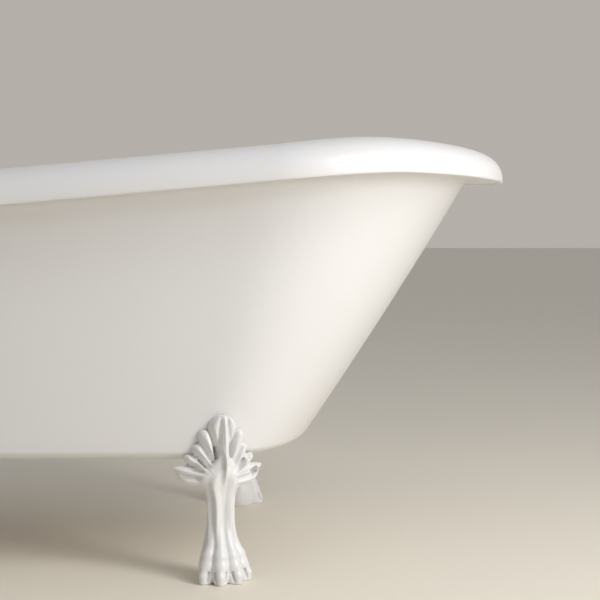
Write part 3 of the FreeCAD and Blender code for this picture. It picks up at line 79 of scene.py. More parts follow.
# ---------------------------------------------------------------- basin, in mm
SHELL = 5.0
BASIN_HALF_WIDTH = 250.0
BASIN_HEAD_X, BASIN_HEAD_LENGTH = 700.0, 262.0
BASIN_TAP_X, BASIN_TAP_TAPER, BASIN_TAP_LENGTH = -712.0, 0.24, 215.0
ROLL_DROP = 46.0              # crest of the roll down to the basin's straight wall
FLOOR_Z = 219.2
FLOOR_ROUND_HEIGHT, FLOOR_ROUND_SIDE = 74.0, 70.0
FLOOR_FALL = 0.008            # fall of the floor towards the waste
FLOOR_FALL_FADE = 3           # power by which the floor's fall fades out up the walls
WASTE_X, WASTE_HOLE_R, SKIN_OPENING_R = -528.0, 26.0, 42.0
OVERFLOW_Z, OVERFLOW_HOLE_R = 452.0, 25.0

# ---------------------------------------------------------------- rings of the shells
SIDE_STEPS = 24               # mesh columns along half of each straight side
END_STEPS = 130               # mesh columns round each rounded end
ROLL_RINGS, ROLL_CROWDING = 26, 1.15      # crowding draws the rings towards the lip's edge
DROP_RINGS, BASIN_WALL_RINGS, FLOOR_ROUND_RINGS = 14, 16, 16
SKIN_WALL_RINGS, CORNER_RINGS = 24, 16
FLOOR_SHARES = (0.0, 0.06, 0.18, 0.34, 0.5, 0.66, 0.8, 0.9)   # floor's edge to its middle
UNDERSIDE_SHARES = (0.03, 0.12, 0.3, 0.5, 0.7, 0.88)
FLANGE_SHARES = (0.0, 0.5, 0.8, 0.93, 0.985)                  # lip to the outer wall
ROLL_PULL, WALL_PULL, FLOOR_PULL = 1.45, 1.3, 1.5   # fullness of the basin's curves
LIP_EDGE = 0.7                # chamfer on the lip's lower edge, in mm
CUTTER_SIDES = 96             # sides of a round hole

# ---------------------------------------------------------------- feet, in mm
FOOT_X = {"head": 410.0, "tap": -590.0}
FOOT_Y = 261.0
FOOT_TURN = 23.0              # degrees that each foot is turned towards its end
FOOT_WALL_GAP = 2.2
WALL_SEEN = (130.0, 90.0)     # how far across and through the foot its bath wall is looked for
SCULPT_SHIFT = {"head": -3.2, "tap": 3.2}   # leg and fan, sideways from the bolt and the leveller
BRACKET = 6.0                 # thickness of the plate that the tongue is bolted under
TONGUE, TONGUE_WIDTH, TONGUE_REACH, TONGUE_BACK = 10.0, 40.0, 64.0, -5.0
FOOT_BOLT_BACK, FOOT_HOLE_R = 46.0, 5.5
PAD_POCKET_R, PAD_POCKET_HEIGHT, STUD_HOLE_R, STUD_TOP_Z = 16.0, 14.0, 5.2, 64.0

# Grid that a foot is carved on, and the boxes of it that hold each form.
FIELD_STEP = 1.2
FOOT_BOX = ((-76, -56, -3), (76, 70, 248))
LEG_BOX = ((-76, -56, -3), (76, 70, 196))
PAW_BOX = ((-62, -56, -3), (62, 20, 90))
CLAW_BOX = ((-62, -56, -3), (62, 20, 30))
HEEL_BOX = ((-30, -10, -3), (30, 40, 50))
TONGUE_BOX = ((-30, -6, 140), (30, 70, 176))
BOLT_BOX = ((-16, 30, 140), (16, 62, 176))
POCKET_BOX = ((-28, -24, -3), (28, 24, 66))
FAR = 1e3                     # field value well away from any surface
TINY = 1e-6                   # keeps a division or a power off zero

# Widths of the fillets and eased edges where forms meet.
LEG_BLEND, TOE_BLEND, CLAW_BLEND, PIT_BLEND, HEEL_BLEND = 0.5, 2.4, 2.6, 1.2, 6.0
FAN_BLEND, PLATE_BLEND, WEB_BLEND, WING_BLEND, TONGUE_BLEND = 5.0, 1.6, 7.0, 4.0, 3.0
FAN_RIM, TONGUE_EDGE, HOLE_EDGE, SOLE_EDGE = 1.2, 1.6, 0.4, 1.2

# Easing of the carved surface: shares of the way to the neighbours' average, in turn.
EASING = (0.45, -0.25, 0.45, -0.25, 0.3)
SOLE_SNAP = 0.35              # points below this height lie flat on the floor
HOLLOW_DEPTH = 0.9            # depth under the surface around it at which the painted shade of the hollows is darkest
HOLLOW_REACH, HOLLOW_SOFTENING = 3, 2       # rounds of averaging

# ---------------------------------------------------------------- fan of leaves, in mm
FAN_CENTRE_Z, FAN_HEIGHT = 150.0, 91.0
FAN_EDGE, FAN_MIDDLE, FAN_FALL = 6.0, 19.0, 1.15   # height of its body, and how that falls outwards
BACK_STEEPNESS, STEEPEST = 0.95, 3.0        # bring the relief's field near to true distances
EDGE_STEEPNESS, EDGE_ROUND = 2.6, 3.0       # how a leaf rises from its edge and rounds over
CROWN_ROUND, LEAF_SINK = 1.6, 1.2           # power of a leaf's crown, and how low the leaf is set
LEAF_CROWN = [(-0.4, 0.3), (0.0, 0.8), (0.5, 1.0), (0.85, 0.8), (1.0, 0.5), (1.3, 0.3)]
VEIN_RISE, VEIN_HALF = 0.9, 1.3
# Leaves on each side: root and tip in (sideways, z), radius by share of the way, the rise of the
# crown, and how much of the fan's own height lies under it.
SIDE_LEAVES = [
    ((7.0, 160.0), (25.0, 211.0), [(0, 4.0), (0.5, 6.8), (0.85, 8.6), (1.0, 8.2)], 4.5, 1.0),
    ((10.0, 158.0), (33.5, 190.5), [(0, 4.0), (0.5, 6.6), (0.85, 7.8), (1.0, 7.4)], 4.5, 1.0),
    ((14.0, 155.0), (45.0, 176.5), [(0, 4.5), (0.5, 6.8), (0.85, 7.0), (1.0, 6.2)], 4.5, 1.0),
    ((20.0, 152.0), (64.5, 162.5), [(0, 6.5), (0.45, 7.6), (0.75, 6.8), (0.92, 4.2), (1.0, 2.2)], 4.5, 0.95),
    ((20.0, 141.5), (55.5, 146.5), [(0, 6.5), (0.4, 7.6), (0.7, 6.8), (0.9, 4.4), (1.0, 2.4)], 3.6, 0.72),
]
# Half width of the middle leaf, and of its keel, and the keel's rise, by height.
MIDDLE_LEAF = [(145, 6.0), (165, 7.0), (180, 8.5), (192, 11.5), (204, 15.5), (216, 19.0), (225, 20.0),
               (231, 17.6), (236, 12.6), (240, 6.5), (244, 1.0), (250, 0.1)]
KEEL_HALF = [(135, 1.0), (142, 2.5), (152, 8.5), (164, 12.0), (176, 11.0), (190, 8.8), (215, 6.8),
             (243, 4.0)]
KEEL_RISE = [(138, 0.0), (146, 6.0), (156, 12.5), (168, 14.0), (190, 12.0), (215, 9.0), (232, 6.5),
             (244, 2.5)]
KEEL_GROOVE, KEEL_GROOVE_HALF, KEEL_LOW_Z = 0.34, 0.3, 138.0   # grooves as shares of rise and half
LEAF_FOOT_Z, LEAF_THINNEST = 145.0, 0.5
LEAF_SIDE_STEEPNESS, LEAF_TOP_STEEPNESS, OUTSIDE = 0.85, 0.9, -5.0
PANEL_RISE, PANEL_FLAT, PANEL_LIFT = 3.2, 0.55, 1.2   # the leaf's face: crown, flat share and lift
# Plate behind the leaves: a web round the window, the wings' half width and height, by height.
WING_PLATE = ((28.0, 152.0), (53.0, 155.5), [(0, 8.0), (1.0, 7.5)])
PLATE_SHARE, WING_STEEPNESS = 0.74, 0.6
WING_OUTLINE = [(105, 17.0), (118, 19.5), (126, 22.5), (132, 26.5), (137, 32.0), (141, 40.0),
                (145, 50.0), (152, 57.0), (166, 58.0)]
WING_FADE = [(110, 0.25), (122, 0.5), (134, 0.85), (142, 1.0), (150, 1.0)]
WING_LOW_Z, WING_TOP_Z = 112.0, 164.0
# Eyelet between the leaves: a rim round a pit. Window: a tilted square through the outer wing.
EYELET_TOP, EYELET_LOW = (31.5, 174.0), (17.5, 155.5)
EYELET_RADII = [(0, 2.9), (0.6, 2.4), (1.0, 1.4)]
EYELET_RIM, EYELET_RIM_OFF, EYELET_RIM_HALF, EYELET_PIT = 4.2, 1.5, 0.55, 5.0
KEEL_BASE, EYELET_BASE = 2.0, 3.0           # lowest relief that takes a keel or an eyelet
WINDOW_X, WINDOW_Z, WINDOW, WINDOW_TILT, WINDOW_STEEPNESS = 50.0, 155.0, 6.6, 28.0, 3.0

# ---------------------------------------------------------------- leg and paw, in mm
# Leg by height: centre line, half width, reach to the front and to the back.
LEG_MIDDLE = [(0, 0.0), (110, 0.0), (140, -1.0), (152, -4.0), (163, -10.0), (173, -15.0),
              (182, -18.5), (196, -20.0)]
LEG_HALF = [(0, 28.0), (12, 31.5), (24, 31.5), (38, 29.0), (52, 25.8), (66, 23.0), (80, 20.6),
            (95, 19.8), (110, 20.0), (122, 20.8), (131, 23.2), (139, 28.5), (147, 33.0), (154, 31.0),
            (165, 20.0), (178, 10.0), (196, 4.0)]
LEG_FRONT = [(0, 27.0), (12, 30.0), (24, 29.5), (38, 26.0), (52, 22.0), (66, 19.0), (80, 17.4),
             (95, 16.8), (110, 16.8), (125, 17.2), (140, 18.5), (152, 18.0), (165, 12.0), (178, 7.0),
             (196, 3.0)]
LEG_BACK = [(0, 26.0), (12, 29.0), (24, 29.5), (38, 27.0), (52, 23.5), (66, 20.5), (80, 18.3),
            (95, 17.5), (125, 17.5), (140, 17.0), (152, 16.0), (163, 14.0), (173, 9.0), (182, 4.5),
            (196, 2.0)]
LEG_STEEPNESS = 0.92          # brings the leg's field near to true distances
# Tendons on each side of the leg's front: crest angle by height, half spread, and rise by height.
TENDONS = [
    ([(0, 17), (42, 17.5), (56, 25), (80, 30), (105, 31), (120, 34), (140, 40), (150, 36), (190, 20)],
     21.0, [(0, 0.0), (34, 3.0), (52, 5.6), (80, 5.6), (120, 5.2), (142, 4.6), (152, 3.0), (165, 0.0),
            (190, 0.0)]),
    ([(0, 55), (42, 55), (60, 60), (91, 72), (125, 76), (150, 76), (190, 76)], 17.0,
     [(0, 0.0), (34, 3.0), (52, 3.8), (80, 3.0), (120, 2.6), (142, 1.0), (165, 0.0), (190, 0.0)])]
CREST_ROUND, TENDON_GROOVE = 0.01, -0.12    # of a tendon's crest, and the dip along its sides
# Toes: angle from the front and size; each toe's joints: distance, height and radius.
TOES = [(-56.0, 0.98), (-18.5, 1.0), (18.5, 1.0), (56.0, 0.98)]
TOE_JOINTS = [(12.5, 88.0, 3.0), (20.5, 55.0, 7.2), (27.0, 38.0, 10.6), (31.0, 24.0, 11.4),
              (33.0, 11.0, 11.2), (33.5, 4.0, 10.4)]
CLAW = [(38.0, 21.0, 5.6), (41.5, 11.5, 6.0), (41.5, 2.5, 5.8)]
# Pit on each side of a claw, from its upper to its lower end: distance, sideways, height, radius.
CLAW_PIT = [(38.0, 7.4, 17.0, 2.4), (42.0, 6.4, 5.0, 2.0)]
HEEL = ((-6, 9, 14), (6, 9, 14), 17, 17)    # a bone: its two ends and their radii

# ---------------------------------------------------------------- camera and light, in metres
CAMERA_PLACE, CAMERA_DOWN, LENS, SENSOR = (0.523, -2.164, 0.5096), 0.055, 79.56, 36.0
SIDE_SKY, TOP_SKY = 0.07, 0.54     # strength of the sky at the horizon and overhead
SKY, BACKDROP = (0.95, 0.97, 1.0, 1.0), (0.46, 0.43, 0.40, 1.0)
FLOOR_REACH = 30.0
# Lamps: name, place, target, size and power in watts.
LAMPS = [("key", (1.95, -1.35, 0.95), (0.45, -0.3, 0.3), 0.6, 15.0),
         ("top", (2.5, -1.7, 2.5), (0.9, 0.1, 0.1), 1.5, 38.0),
         ("back", (-2.6, 2.4, 2.2), (0.0, 0.2, 0.3), 1.8, 5.0)]


# ================================================================ shader maths
class Socket:
    """An output socket of a shader node; operators on it add Math nodes."""

    def __init__(self, nodes, socket):
        self.nodes, self.socket = nodes, socket

    def __add__(self, other):
        return self.nodes.math("ADD", self, other)

    def __sub__(self, other):
        return self.nodes.math("SUBTRACT", self, other)

    def __rsub__(self, other):
        return self.nodes.math("SUBTRACT", other, self)

    def __mul__(self, other):
        return self.nodes.math("MULTIPLY", self, other)

    __radd__ = __add__
    __rmul__ = __mul__

    def between(self, low, high):
        """0 below low, 1 above high and a smooth step in between."""
        return self.nodes.add("ShaderNodeMapRange", {"interpolation_type": "SMOOTHSTEP"},
                              {"Value": self, "From Min": low, "From Max": high})


class Nodes:
    """The nodes of a material or of the world."""

    def __init__(self, owner):
        owner.use_nodes = True
        self.tree = owner.node_tree

    def add(self, kind, settings, values, output=0):
        """A node of one kind; its settings go in first, then its sockets' values or links."""
        node = self.tree.nodes.new(kind)
        for name, value in settings.items():
            setattr(node, name, value)
        for name, value in values.items():
            self.feed(node.inputs[name], value)
        return Socket(self, node.outputs[output])

    def feed(self, target, value):
        if isinstance(value, Socket):
            self.tree.links.new(value.socket, target)
        else:
            target.default_value = value

    def math(self, operation, *values):
        return self.add("ShaderNodeMath", {"operation": operation}, dict(enumerate(values)))


class Shader(Nodes):
    """A material, with its surface and the place on the piece."""

    def __init__(self, name):
        self.material = bpy.data.materials.new(name)
        super().__init__(self.material)
        self.surface = self.tree.nodes["Principled BSDF"]
        self.place = self.add("ShaderNodeTexCoord", {}, {}, "Object")

    def set(self, **values):
        """Sockets of the surface, by their names with spaces as underscores."""
        for name, value in values.items():
            self.feed(self.surface.inputs[name.replace("_", " ")], value)
        return self

    def noise(self, scale, detail=4.0, roughness=0.5, stretch=None):
        """Noise of so many features per metre, on the piece's own coordinates."""
        place = self.place
        if stretch:
            place = self.add("ShaderNodeMapping", {}, {"Vector": place, "Scale": stretch})
        return self.add("ShaderNodeTexNoise", {}, {"Vector": place, "Scale": scale, "Detail": detail,
                                                   "Roughness": roughness})

    def mix(self, factor, one, two):
        """Colour between two, by a factor from 0 to 1."""
        return self.add("ShaderNodeMix", {"data_type": "RGBA"}, {0: factor, 6: one, 7: two}, 2)

    def bump(self, height, depth, strength):
        """Normal from a height of 0 to 1 that stands for depth metres."""
        return self.add("ShaderNodeBump", {}, {"Height": height, "Distance": depth,
                                               "Strength": strength})


def rgb(red, green, blue):
    return (red, green, blue, 1.0)


def toned(colour, *shares):
    """A colour with its red, green and blue each taken down to a share."""
    return rgb(*(value * share for value, share in zip(colour, shares)))


# ================================================================ materials
def acrylic(name, base, roughness):
    """Cast acrylic: faint clouding, faint wipe marks in the gloss and a slight ripple."""
    shader = Shader(name)
    cloud = shader.noise(3.0, detail=2.0)
    wipe = shader.noise(5.0, detail=3.0).between(0.3, 0.8)
    dust = shader.noise(240.0, detail=2.0).between(0.62, 0.8)
    ripple = shader.noise(14.0, detail=1.0)
    return shader.set(Base_Color=shader.mix(cloud, base, toned(base, 0.99, 0.985, 0.975)),
                      Roughness=wipe * 0.04 + dust * 0.02 + roughness,
                      IOR=1.49, Coat_Weight=0.2, Coat_Roughness=0.2,
                      Normal=shader.bump(ripple, depth=0.0003, strength=0.25)).material


def cast_paint():
    """White enamel on rough castings: soft pits, and painted shade that darkens the colour in the hollows,
    which are also rougher.
    """
    shader = Shader("foot_enamel")
    # painted shade: how hollow each point of the casting is, read from the mesh
    hollow_shade = shader.add("ShaderNodeAttribute", {"attribute_name": "hollow_shade"}, {}, "Fac")
    cloud = shader.noise(40.0, detail=3.0)
    coat = shader.mix(cloud, rgb(0.86, 0.855, 0.85), rgb(0.84, 0.83, 0.82))
    grain = shader.noise(420.0, roughness=0.6) * 0.6 + shader.noise(110.0, detail=3.0) * 0.7
    pits = shader.noise(900.0, detail=2.0).between(0.66, 0.72)
    # painted shade: the colour is darkened towards grey in the hollows of the casting
    return shader.set(Base_Color=shader.mix(hollow_shade * 0.8, coat, rgb(0.62, 0.59, 0.57)),
                      Roughness=hollow_shade * 0.2 + cloud * 0.08 + 0.3,
                      Coat_Weight=0.15, Coat_Roughness=0.2,
                      Normal=shader.bump(grain - pits * 0.5, depth=0.0003, strength=0.45)).material


def powder_coat():
    """White powder coat on steel, with its orange peel."""
    shader = Shader("bracket_powder_coat")
    peel = shader.noise(380.0, detail=2.0)
    cloud = shader.noise(14.0, detail=3.0)
    return shader.set(Base_Color=shader.mix(cloud, rgb(0.80, 0.80, 0.79), rgb(0.74, 0.74, 0.73)),
                      Roughness=cloud * 0.1 + 0.38,
                      Normal=shader.bump(peel, depth=0.0002, strength=0.5)).material


def metal(name, base, tint, roughness, streak):
    """Plated or polished metal: two tones of plating, and streaks in the polish."""
    shader = Shader(name)
    tone = shader.noise(60.0, detail=3.0)
    lines = shader.noise(300.0, detail=3.0, roughness=0.6, stretch=(1.0, 1.0, 0.15))
    return shader.set(Base_Color=shader.mix(tone, base, tint), Metallic=1.0,
                      Roughness=lines * streak + tone * streak * 0.5 + roughness,
                      Normal=shader.bump(lines, depth=0.00005, strength=0.3)).material


def moulded(name, base, roughness, grain):
    """Moulded plastic or rubber: a fine skin and slight flow marks in the colour."""
    shader = Shader(name)
    flow = shader.noise(18.0, detail=3.0, stretch=(1.0, 1.0, 0.3))
    skin = shader.noise(grain, detail=3.0)
    return shader.set(Base_Color=shader.mix(flow, base, toned(base, 0.85, 0.85, 0.86)),
                      Roughness=skin * 0.15 + roughness,
                      Normal=shader.bump(skin, depth=0.0002, strength=0.5)).material


def chipboard():
    """Pressed board: pale chips in a brown binder."""
    shader = Shader("base_board_chips")
    chips = shader.add("ShaderNodeTexVoronoi", {}, {"Vector": shader.place, "Scale": 160.0}, "Color")
    tone = shader.add("ShaderNodeSeparateColor", {}, {"Color": chips})
    return shader.set(Base_Color=shader.mix(tone, rgb(0.50, 0.36, 0.22), rgb(0.72, 0.58, 0.40)),
                      Roughness=tone * 0.2 + 0.6,
                      Normal=shader.bump(tone, depth=0.0004, strength=0.5)).material


MATERIALS = {
    "white_acrylic": acrylic("bath_acrylic", rgb(0.885, 0.877, 0.878), 0.34),
    "white_cast": cast_paint(),
    "white_steel": powder_coat(),
    "resin": moulded("rim_resin", rgb(0.78, 0.74, 0.62), 0.5, 200.0),
    "board": chipboard(),
    "zinc_steel": metal("zinc_plate", rgb(0.70, 0.70, 0.68), rgb(0.62, 0.63, 0.66), 0.28, 0.2),
    "chrome": metal("chrome_plate", rgb(0.86, 0.87, 0.88), rgb(0.82, 0.84, 0.86), 0.04, 0.06),
    "black_rubber": moulded("seal_rubber", rgb(0.035, 0.035, 0.036), 0.6, 500.0),
    "white_pipe": moulded("pipe_plastic", rgb(0.78, 0.78, 0.76), 0.35, 300.0),
    "grey_hose": moulded("hose_plastic", rgb(0.42, 0.43, 0.45), 0.45, 300.0),
    "black_plastic": moulded("black_plastic", rgb(0.04, 0.04, 0.042), 0.42, 350.0),
}


# ================================================================ meshes
def new_piece(name, points, faces, slot, smooth=True):
    """Mesh object at the origin, in metres."""
    mesh = bpy.data.meshes.new(name)
    mesh.from_pydata(np.asarray(points, float).tolist(), [], [tuple(int(i) for i in f) for f in faces])
    mesh.validate()
    mesh.polygons.foreach_set("use_smooth", [smooth] * len(mesh.polygons))
    piece = bpy.data.objects.new(name, mesh)
    bpy.context.scene.collection.objects.link(piece)
    mesh.materials.append(MATERIALS[slot])
    return piece


def evaluated_copy(piece):
    """Bakes a piece's modifiers into its mesh."""
    graph = bpy.context.evaluated_depsgraph_get()
    graph.update()
    mesh = bpy.data.meshes.new_from_object(piece.evaluated_get(graph))
    piece.modifiers.clear()
    piece.data = mesh
    return piece


def cut_with(piece, cutters):
    """Takes closed cutter pieces out of a piece."""
    for cutter in cutters:
        modifier = piece.modifiers.new("cut", "BOOLEAN")
        modifier.operation, modifier.solver, modifier.object = "DIFFERENCE", "EXACT", cutter
    evaluated_copy(piece)
    for cutter in cutters:
        bpy.data.objects.remove(cutter)
    return piece


def round_cutter(radius, reach, centre, axis):
    """Closed cylinder that reaches both ways along an axis from its centre, in mm, to cut with."""
    axis = Vector(axis).normalized()
    side = axis.orthogonal().normalized()
    other = axis.cross(side)
    points = []
    for height in (-reach, reach):
        for turn in np.linspace(0, 2 * math.pi, CUTTER_SIDES, endpoint=False):
            around = side * math.cos(turn) + other * math.sin(turn)
            points.append(tuple((Vector(centre) + axis * height + around * radius) * MM))
    low, high = range(CUTTER_SIDES), range(CUTTER_SIDES, 2 * CUTTER_SIDES)
    faces = [(low[i], low[i - CUTTER_SIDES + 1], high[i - CUTTER_SIDES + 1], high[i]) for i in low]
    return new_piece("cutter", points, [*faces, low[::-1], high], "white_acrylic", smooth=False)


def rings_mesh(rings):
    """Points and faces of a stack of closed rings, with both ends closed."""
    count = len(rings[0])
    faces = []
    for low in range(0, (len(rings) - 1) * count, count):
        for i in range(count):
            k = (i + 1) % count
            faces.append((low + i, low + k, low + count + k, low + count + i))
    first, last = range(count), range((len(rings) - 1) * count, len(rings) * count)
    return np.concatenate(rings), [*faces, first[::-1], last]


# ================================================================ bath outlines, in mm
def column_turns():
    """Each column's place: its angle round the outline, and its share towards either end's join."""
    side = np.arange(SIDE_STEPS) / SIDE_STEPS
    sweep = math.pi * np.arange(END_STEPS) / END_STEPS
    quarter, still = math.pi / 2, np.zeros(SIDE_STEPS)
    turn = np.concatenate([still + quarter, sweep + quarter, still - quarter,
                           still - quarter, sweep - quarter, still + quarter])
    gone, ends = np.zeros(END_STEPS), np.ones(END_STEPS)
    to_tap = np.concatenate([side, ends, 1 - side, still, gone, still])
    to_head = np.concatenate([still, gone, still, side, ends, 1 - side])
    return turn, to_tap, to_head


TURN, TO_TAP, TO_HEAD = column_turns()


def signed_power(value, exponent):
    """Power of a value's size, with the value's own sign."""
    return np.copysign(np.abs(value) ** exponent, value)


def outline(z, half_width, head_x, head_length, head_power, tap_x, tap_length, tap_power):
    """Closed plan outline from the far side's middle round by the tap end.

    Each size may differ from column to column.
    """
    head_join, tap_join = head_x - head_length, tap_x + tap_length
    middle = (head_join + tap_join) / 2
    at_head = TO_HEAD > 0
    power = np.where(at_head, head_power, tap_power)
    reach = np.where(at_head, head_length, tap_length)
    x = (middle + (tap_join - middle) * TO_TAP + (head_join - middle) * TO_HEAD
         + reach * signed_power(np.cos(TURN), 2 / power))
    y = half_width * signed_power(np.sin(TURN), 2 / power)
    return np.stack([x, y, np.broadcast_to(z, x.shape)], 1)


def ramp(value, ease):
    """0 below zero and the value itself above it, with an eased corner."""
    return ease * np.logaddexp(0.0, value / ease)


def lip_height(x):
    """Height of the lip's lower edge along the bath."""
    slope = ramp(SLOPE_END_X - x, SLOPE_END_EASE) - ramp(SLOPE_START_X - x, SLOPE_START_EASE)
    past = np.maximum(0.0, (x - SLOPE_END_X) / DROOP_SPAN)
    return LIP_Z_HEAD - RIM_SLOPE * slope - HEAD_DROOP * past * past


def outer_wall(z, inset=0.0, end_inset=0.0):
    """Outer wall's outline at height z, which may differ from column to column."""
    depth = REFERENCE_Z - z
    share = depth / (REFERENCE_Z - BOTTOM_Z)
    belly = WALL_HEAD_BELLY * 4 * share * (1 - share)
    return outline(z, WALL_HALF_WIDTH - WALL_SIDE_TAPER * depth - inset,
                   WALL_HEAD_X - WALL_HEAD_TAPER * depth + belly - end_inset,
                   WALL_HEAD_LENGTH - WALL_HEAD_LENGTH_TAPER * depth, WALL_HEAD_POWER,
                   WALL_TAP_X + WALL_TAP_TAPER * depth + end_inset,
                   WALL_TAP_LENGTH - WALL_TAP_LENGTH_TAPER * depth, WALL_TAP_POWER)


def basin_wall(z, inset=0.0):
    """Basin wall's outline at height z."""
    depth = REFERENCE_Z - z
    return outline(z, BASIN_HALF_WIDTH - WALL_SIDE_TAPER * depth - inset,
                   BASIN_HEAD_X - WALL_HEAD_TAPER * depth - inset,
                   BASIN_HEAD_LENGTH - WALL_HEAD_LENGTH_TAPER / 2 * depth, WALL_HEAD_POWER,
                   BASIN_TAP_X + BASIN_TAP_TAPER * depth + inset,
                   BASIN_TAP_LENGTH - WALL_TAP_LENGTH_TAPER / 2 * depth, WALL_TAP_POWER)


def plan_normals(plan):
    """Unit normals out of a plan outline."""
    along = np.roll(plan, -1, 0) - np.roll(plan, 1, 0)
    normal = np.stack([along[:, 1], -along[:, 0], np.zeros(len(plan))], 1)
    return normal / np.linalg.norm(normal, axis=1, keepdims=True)


LIP = outline(0.0, BATH_WIDTH / 2, BATH_LENGTH / 2, LIP_HEAD_LENGTH, LIP_HEAD_POWER,
              -BATH_LENGTH / 2, LIP_TAP_LENGTH, LIP_TAP_POWER)
LIP_NORMAL = plan_normals(LIP)


def at_height(points, height):
    """Points moved to a height."""
    return np.concatenate([points[:, :2], np.broadcast_to(height, (len(points),))[:, None]], 1)


def roll_ring(angle):
    """Ring on the rolled rim: 0 at the lip's lower edge, a quarter turn on the crest."""
    inset = ROLL_WIDTH * (1 - math.cos(angle) ** (2 / ROLL_POWER))
    rise = ROLL_HEIGHT * math.sin(angle) ** (2 / ROLL_POWER)
    return at_height(LIP - LIP_NORMAL * inset, lip_height(LIP[:, 0]) + rise)


def hermite(start, end, start_pull, end_pull, share):
    """Point on a curve that leaves its start and reaches its end along the two pulls."""
    s2, s3 = share * share, share ** 3
    return (start * (2 * s3 - 3 * s2 + 1) + start_pull * (s3 - 2 * s2 + share)
            + end * (3 * s2 - 2 * s3) + end_pull * (s3 - s2))


def flat_part(vectors):
    """Vectors without their rise."""
    return vectors * np.array([1.0, 1.0, 0.0])


def basin_rings():
    """Rings of the basin's show face, from the lip edge over the roll and down to the floor."""
    quarter = math.pi / 2 - TINY
    rings = [roll_ring(quarter * share) for share in np.linspace(0, 1, ROLL_RINGS) ** ROLL_CROWDING]
    crest = rings.pop()
    top_z = crest[:, 2] - ROLL_DROP
    foot_z = FLOOR_Z + FLOOR_ROUND_HEIGHT
    upper, lower = basin_wall(top_z), basin_wall(foot_z)
    floor = basin_wall(FLOOR_Z, FLOOR_ROUND_SIDE)
    fall = (lower - upper) / (top_z - foot_z)[:, None]
    for share in np.arange(DROP_RINGS) / DROP_RINGS:
        rings.append(hermite(crest, upper, flat_part(upper - crest) * ROLL_PULL,
                             fall * ROLL_DROP * WALL_PULL, share))
    for share in np.arange(BASIN_WALL_RINGS) / BASIN_WALL_RINGS:
        rings.append(basin_wall(top_z + (foot_z - top_z) * share))
    for share in np.arange(FLOOR_ROUND_RINGS) / FLOOR_ROUND_RINGS:
        rings.append(hermite(lower, floor, fall * FLOOR_ROUND_HEIGHT * FLOOR_PULL,
                             flat_part(floor - lower) * FLOOR_PULL, share))
    centre = np.array([(floor[:, 0].min() + floor[:, 0].max()) / 2, 0.0, FLOOR_Z])
    rings += [floor + (centre - floor) * share for share in FLOOR_SHARES]
    return rings


def ring_normals(stack):
    """Unit normals of a stack of rings, out of the bath's show side."""
    along = np.roll(stack, -1, 1) - np.roll(stack, 1, 1)
    normal = np.cross(along, np.gradient(stack, axis=0))
    return normal / np.linalg.norm(normal, axis=2, keepdims=True)


def make_basin():
    """Basin with its rolled rim, as one closed shell with its waste and overflow holes."""
    show = np.stack(basin_rings())
    back = show - ring_normals(show) * SHELL
    back[0, :, 2] = show[0, :, 2]
    crest_z = show[ROLL_RINGS - 1, 0, 2]
    weight = np.clip(1 - (show[..., 2] - FLOOR_Z) / (crest_z - FLOOR_Z), 0, None) ** FLOOR_FALL_FADE
    show[..., 2] += FLOOR_FALL * (show[..., 0] - WASTE_X) * weight
    inwards = (back[0] - show[0]) / SHELL
    edges = [show[0] + inwards * LIP_EDGE, back[0] - inwards * LIP_EDGE]
    show[0, :, 2] += LIP_EDGE
    back[0, :, 2] += LIP_EDGE
    points, faces = rings_mesh([*show[::-1], *edges, *back])
    piece = new_piece("bath_basin", points * MM, faces, "white_acrylic")
    lean = math.atan(BASIN_TAP_TAPER)
    overflow_x = BASIN_TAP_X + BASIN_TAP_TAPER * (REFERENCE_Z - OVERFLOW_Z)
    return cut_with(piece, [
        round_cutter(WASTE_HOLE_R, 3 * SHELL, (WASTE_X, 0, FLOOR_Z), (0, 0, 1)),
        round_cutter(OVERFLOW_HOLE_R, 3 * SHELL, (overflow_x, 0, OVERFLOW_Z),
                     (math.cos(lean), 0, math.sin(lean)))])


def wall_top(rise, inset=0.0):
    """Ring where the outer wall meets the flange behind the lip."""
    heights = np.full(len(LIP), LIP_Z_HEAD)
    for _ in range(FIT_STEPS):
        heights = lip_height(outer_wall(heights, inset, inset)[:, 0]) + rise
    return outer_wall(heights, inset, inset)


def skin_rings(inset, bottom, rise):
    """Rings of the outer wall from the flange down to its flat underside."""
    top = wall_top(rise, inset)
    corner_z = bottom + CORNER_HEIGHT
    rings = [outer_wall(top[:, 2] + (corner_z - top[:, 2]) * share, inset, inset)
             for share in np.arange(SKIN_WALL_RINGS) / SKIN_WALL_RINGS]
    for turn in np.linspace(0, math.pi / 2, CORNER_RINGS):
        draw_in = 1 - math.cos(turn)
        rings.append(outer_wall(bottom + CORNER_HEIGHT * (1 - math.sin(turn)),
                                inset + CORNER_SIDE * draw_in, inset + CORNER_END * draw_in))
    last = rings[-1]
    rings += [last + (last.mean(0) - last) * share for share in UNDERSIDE_SHARES]
    return rings


def flange_edge(rise):
    """Ring just inside the lip."""
    return at_height(LIP - LIP_NORMAL * (SHELL + BOND_GAP), lip_height(LIP[:, 0]) + rise)


def make_skin():
    """Outer shell: flange behind the lip, wall and flat underside with its openings."""
    outer = skin_rings(0.0, BOTTOM_Z, LIP_RECESS)
    inner = skin_rings(SKIN, BOTTOM_Z + SKIN, LIP_RECESS + SKIN)
    low, high = flange_edge(LIP_RECESS), flange_edge(LIP_RECESS + SKIN)
    root = [low + (outer[0] - low) * share for share in FLANGE_SHARES]
    points, faces = rings_mesh([*outer[::-1], *root[::-1], high, *inner])
    piece = new_piece("bath_outer_wall", points * MM, faces, "white_acrylic")
    return cut_with(piece, [round_cutter(SKIN_OPENING_R, 2 * SKIN, (WASTE_X, 0, BOTTOM_Z), (0, 0, 1))])


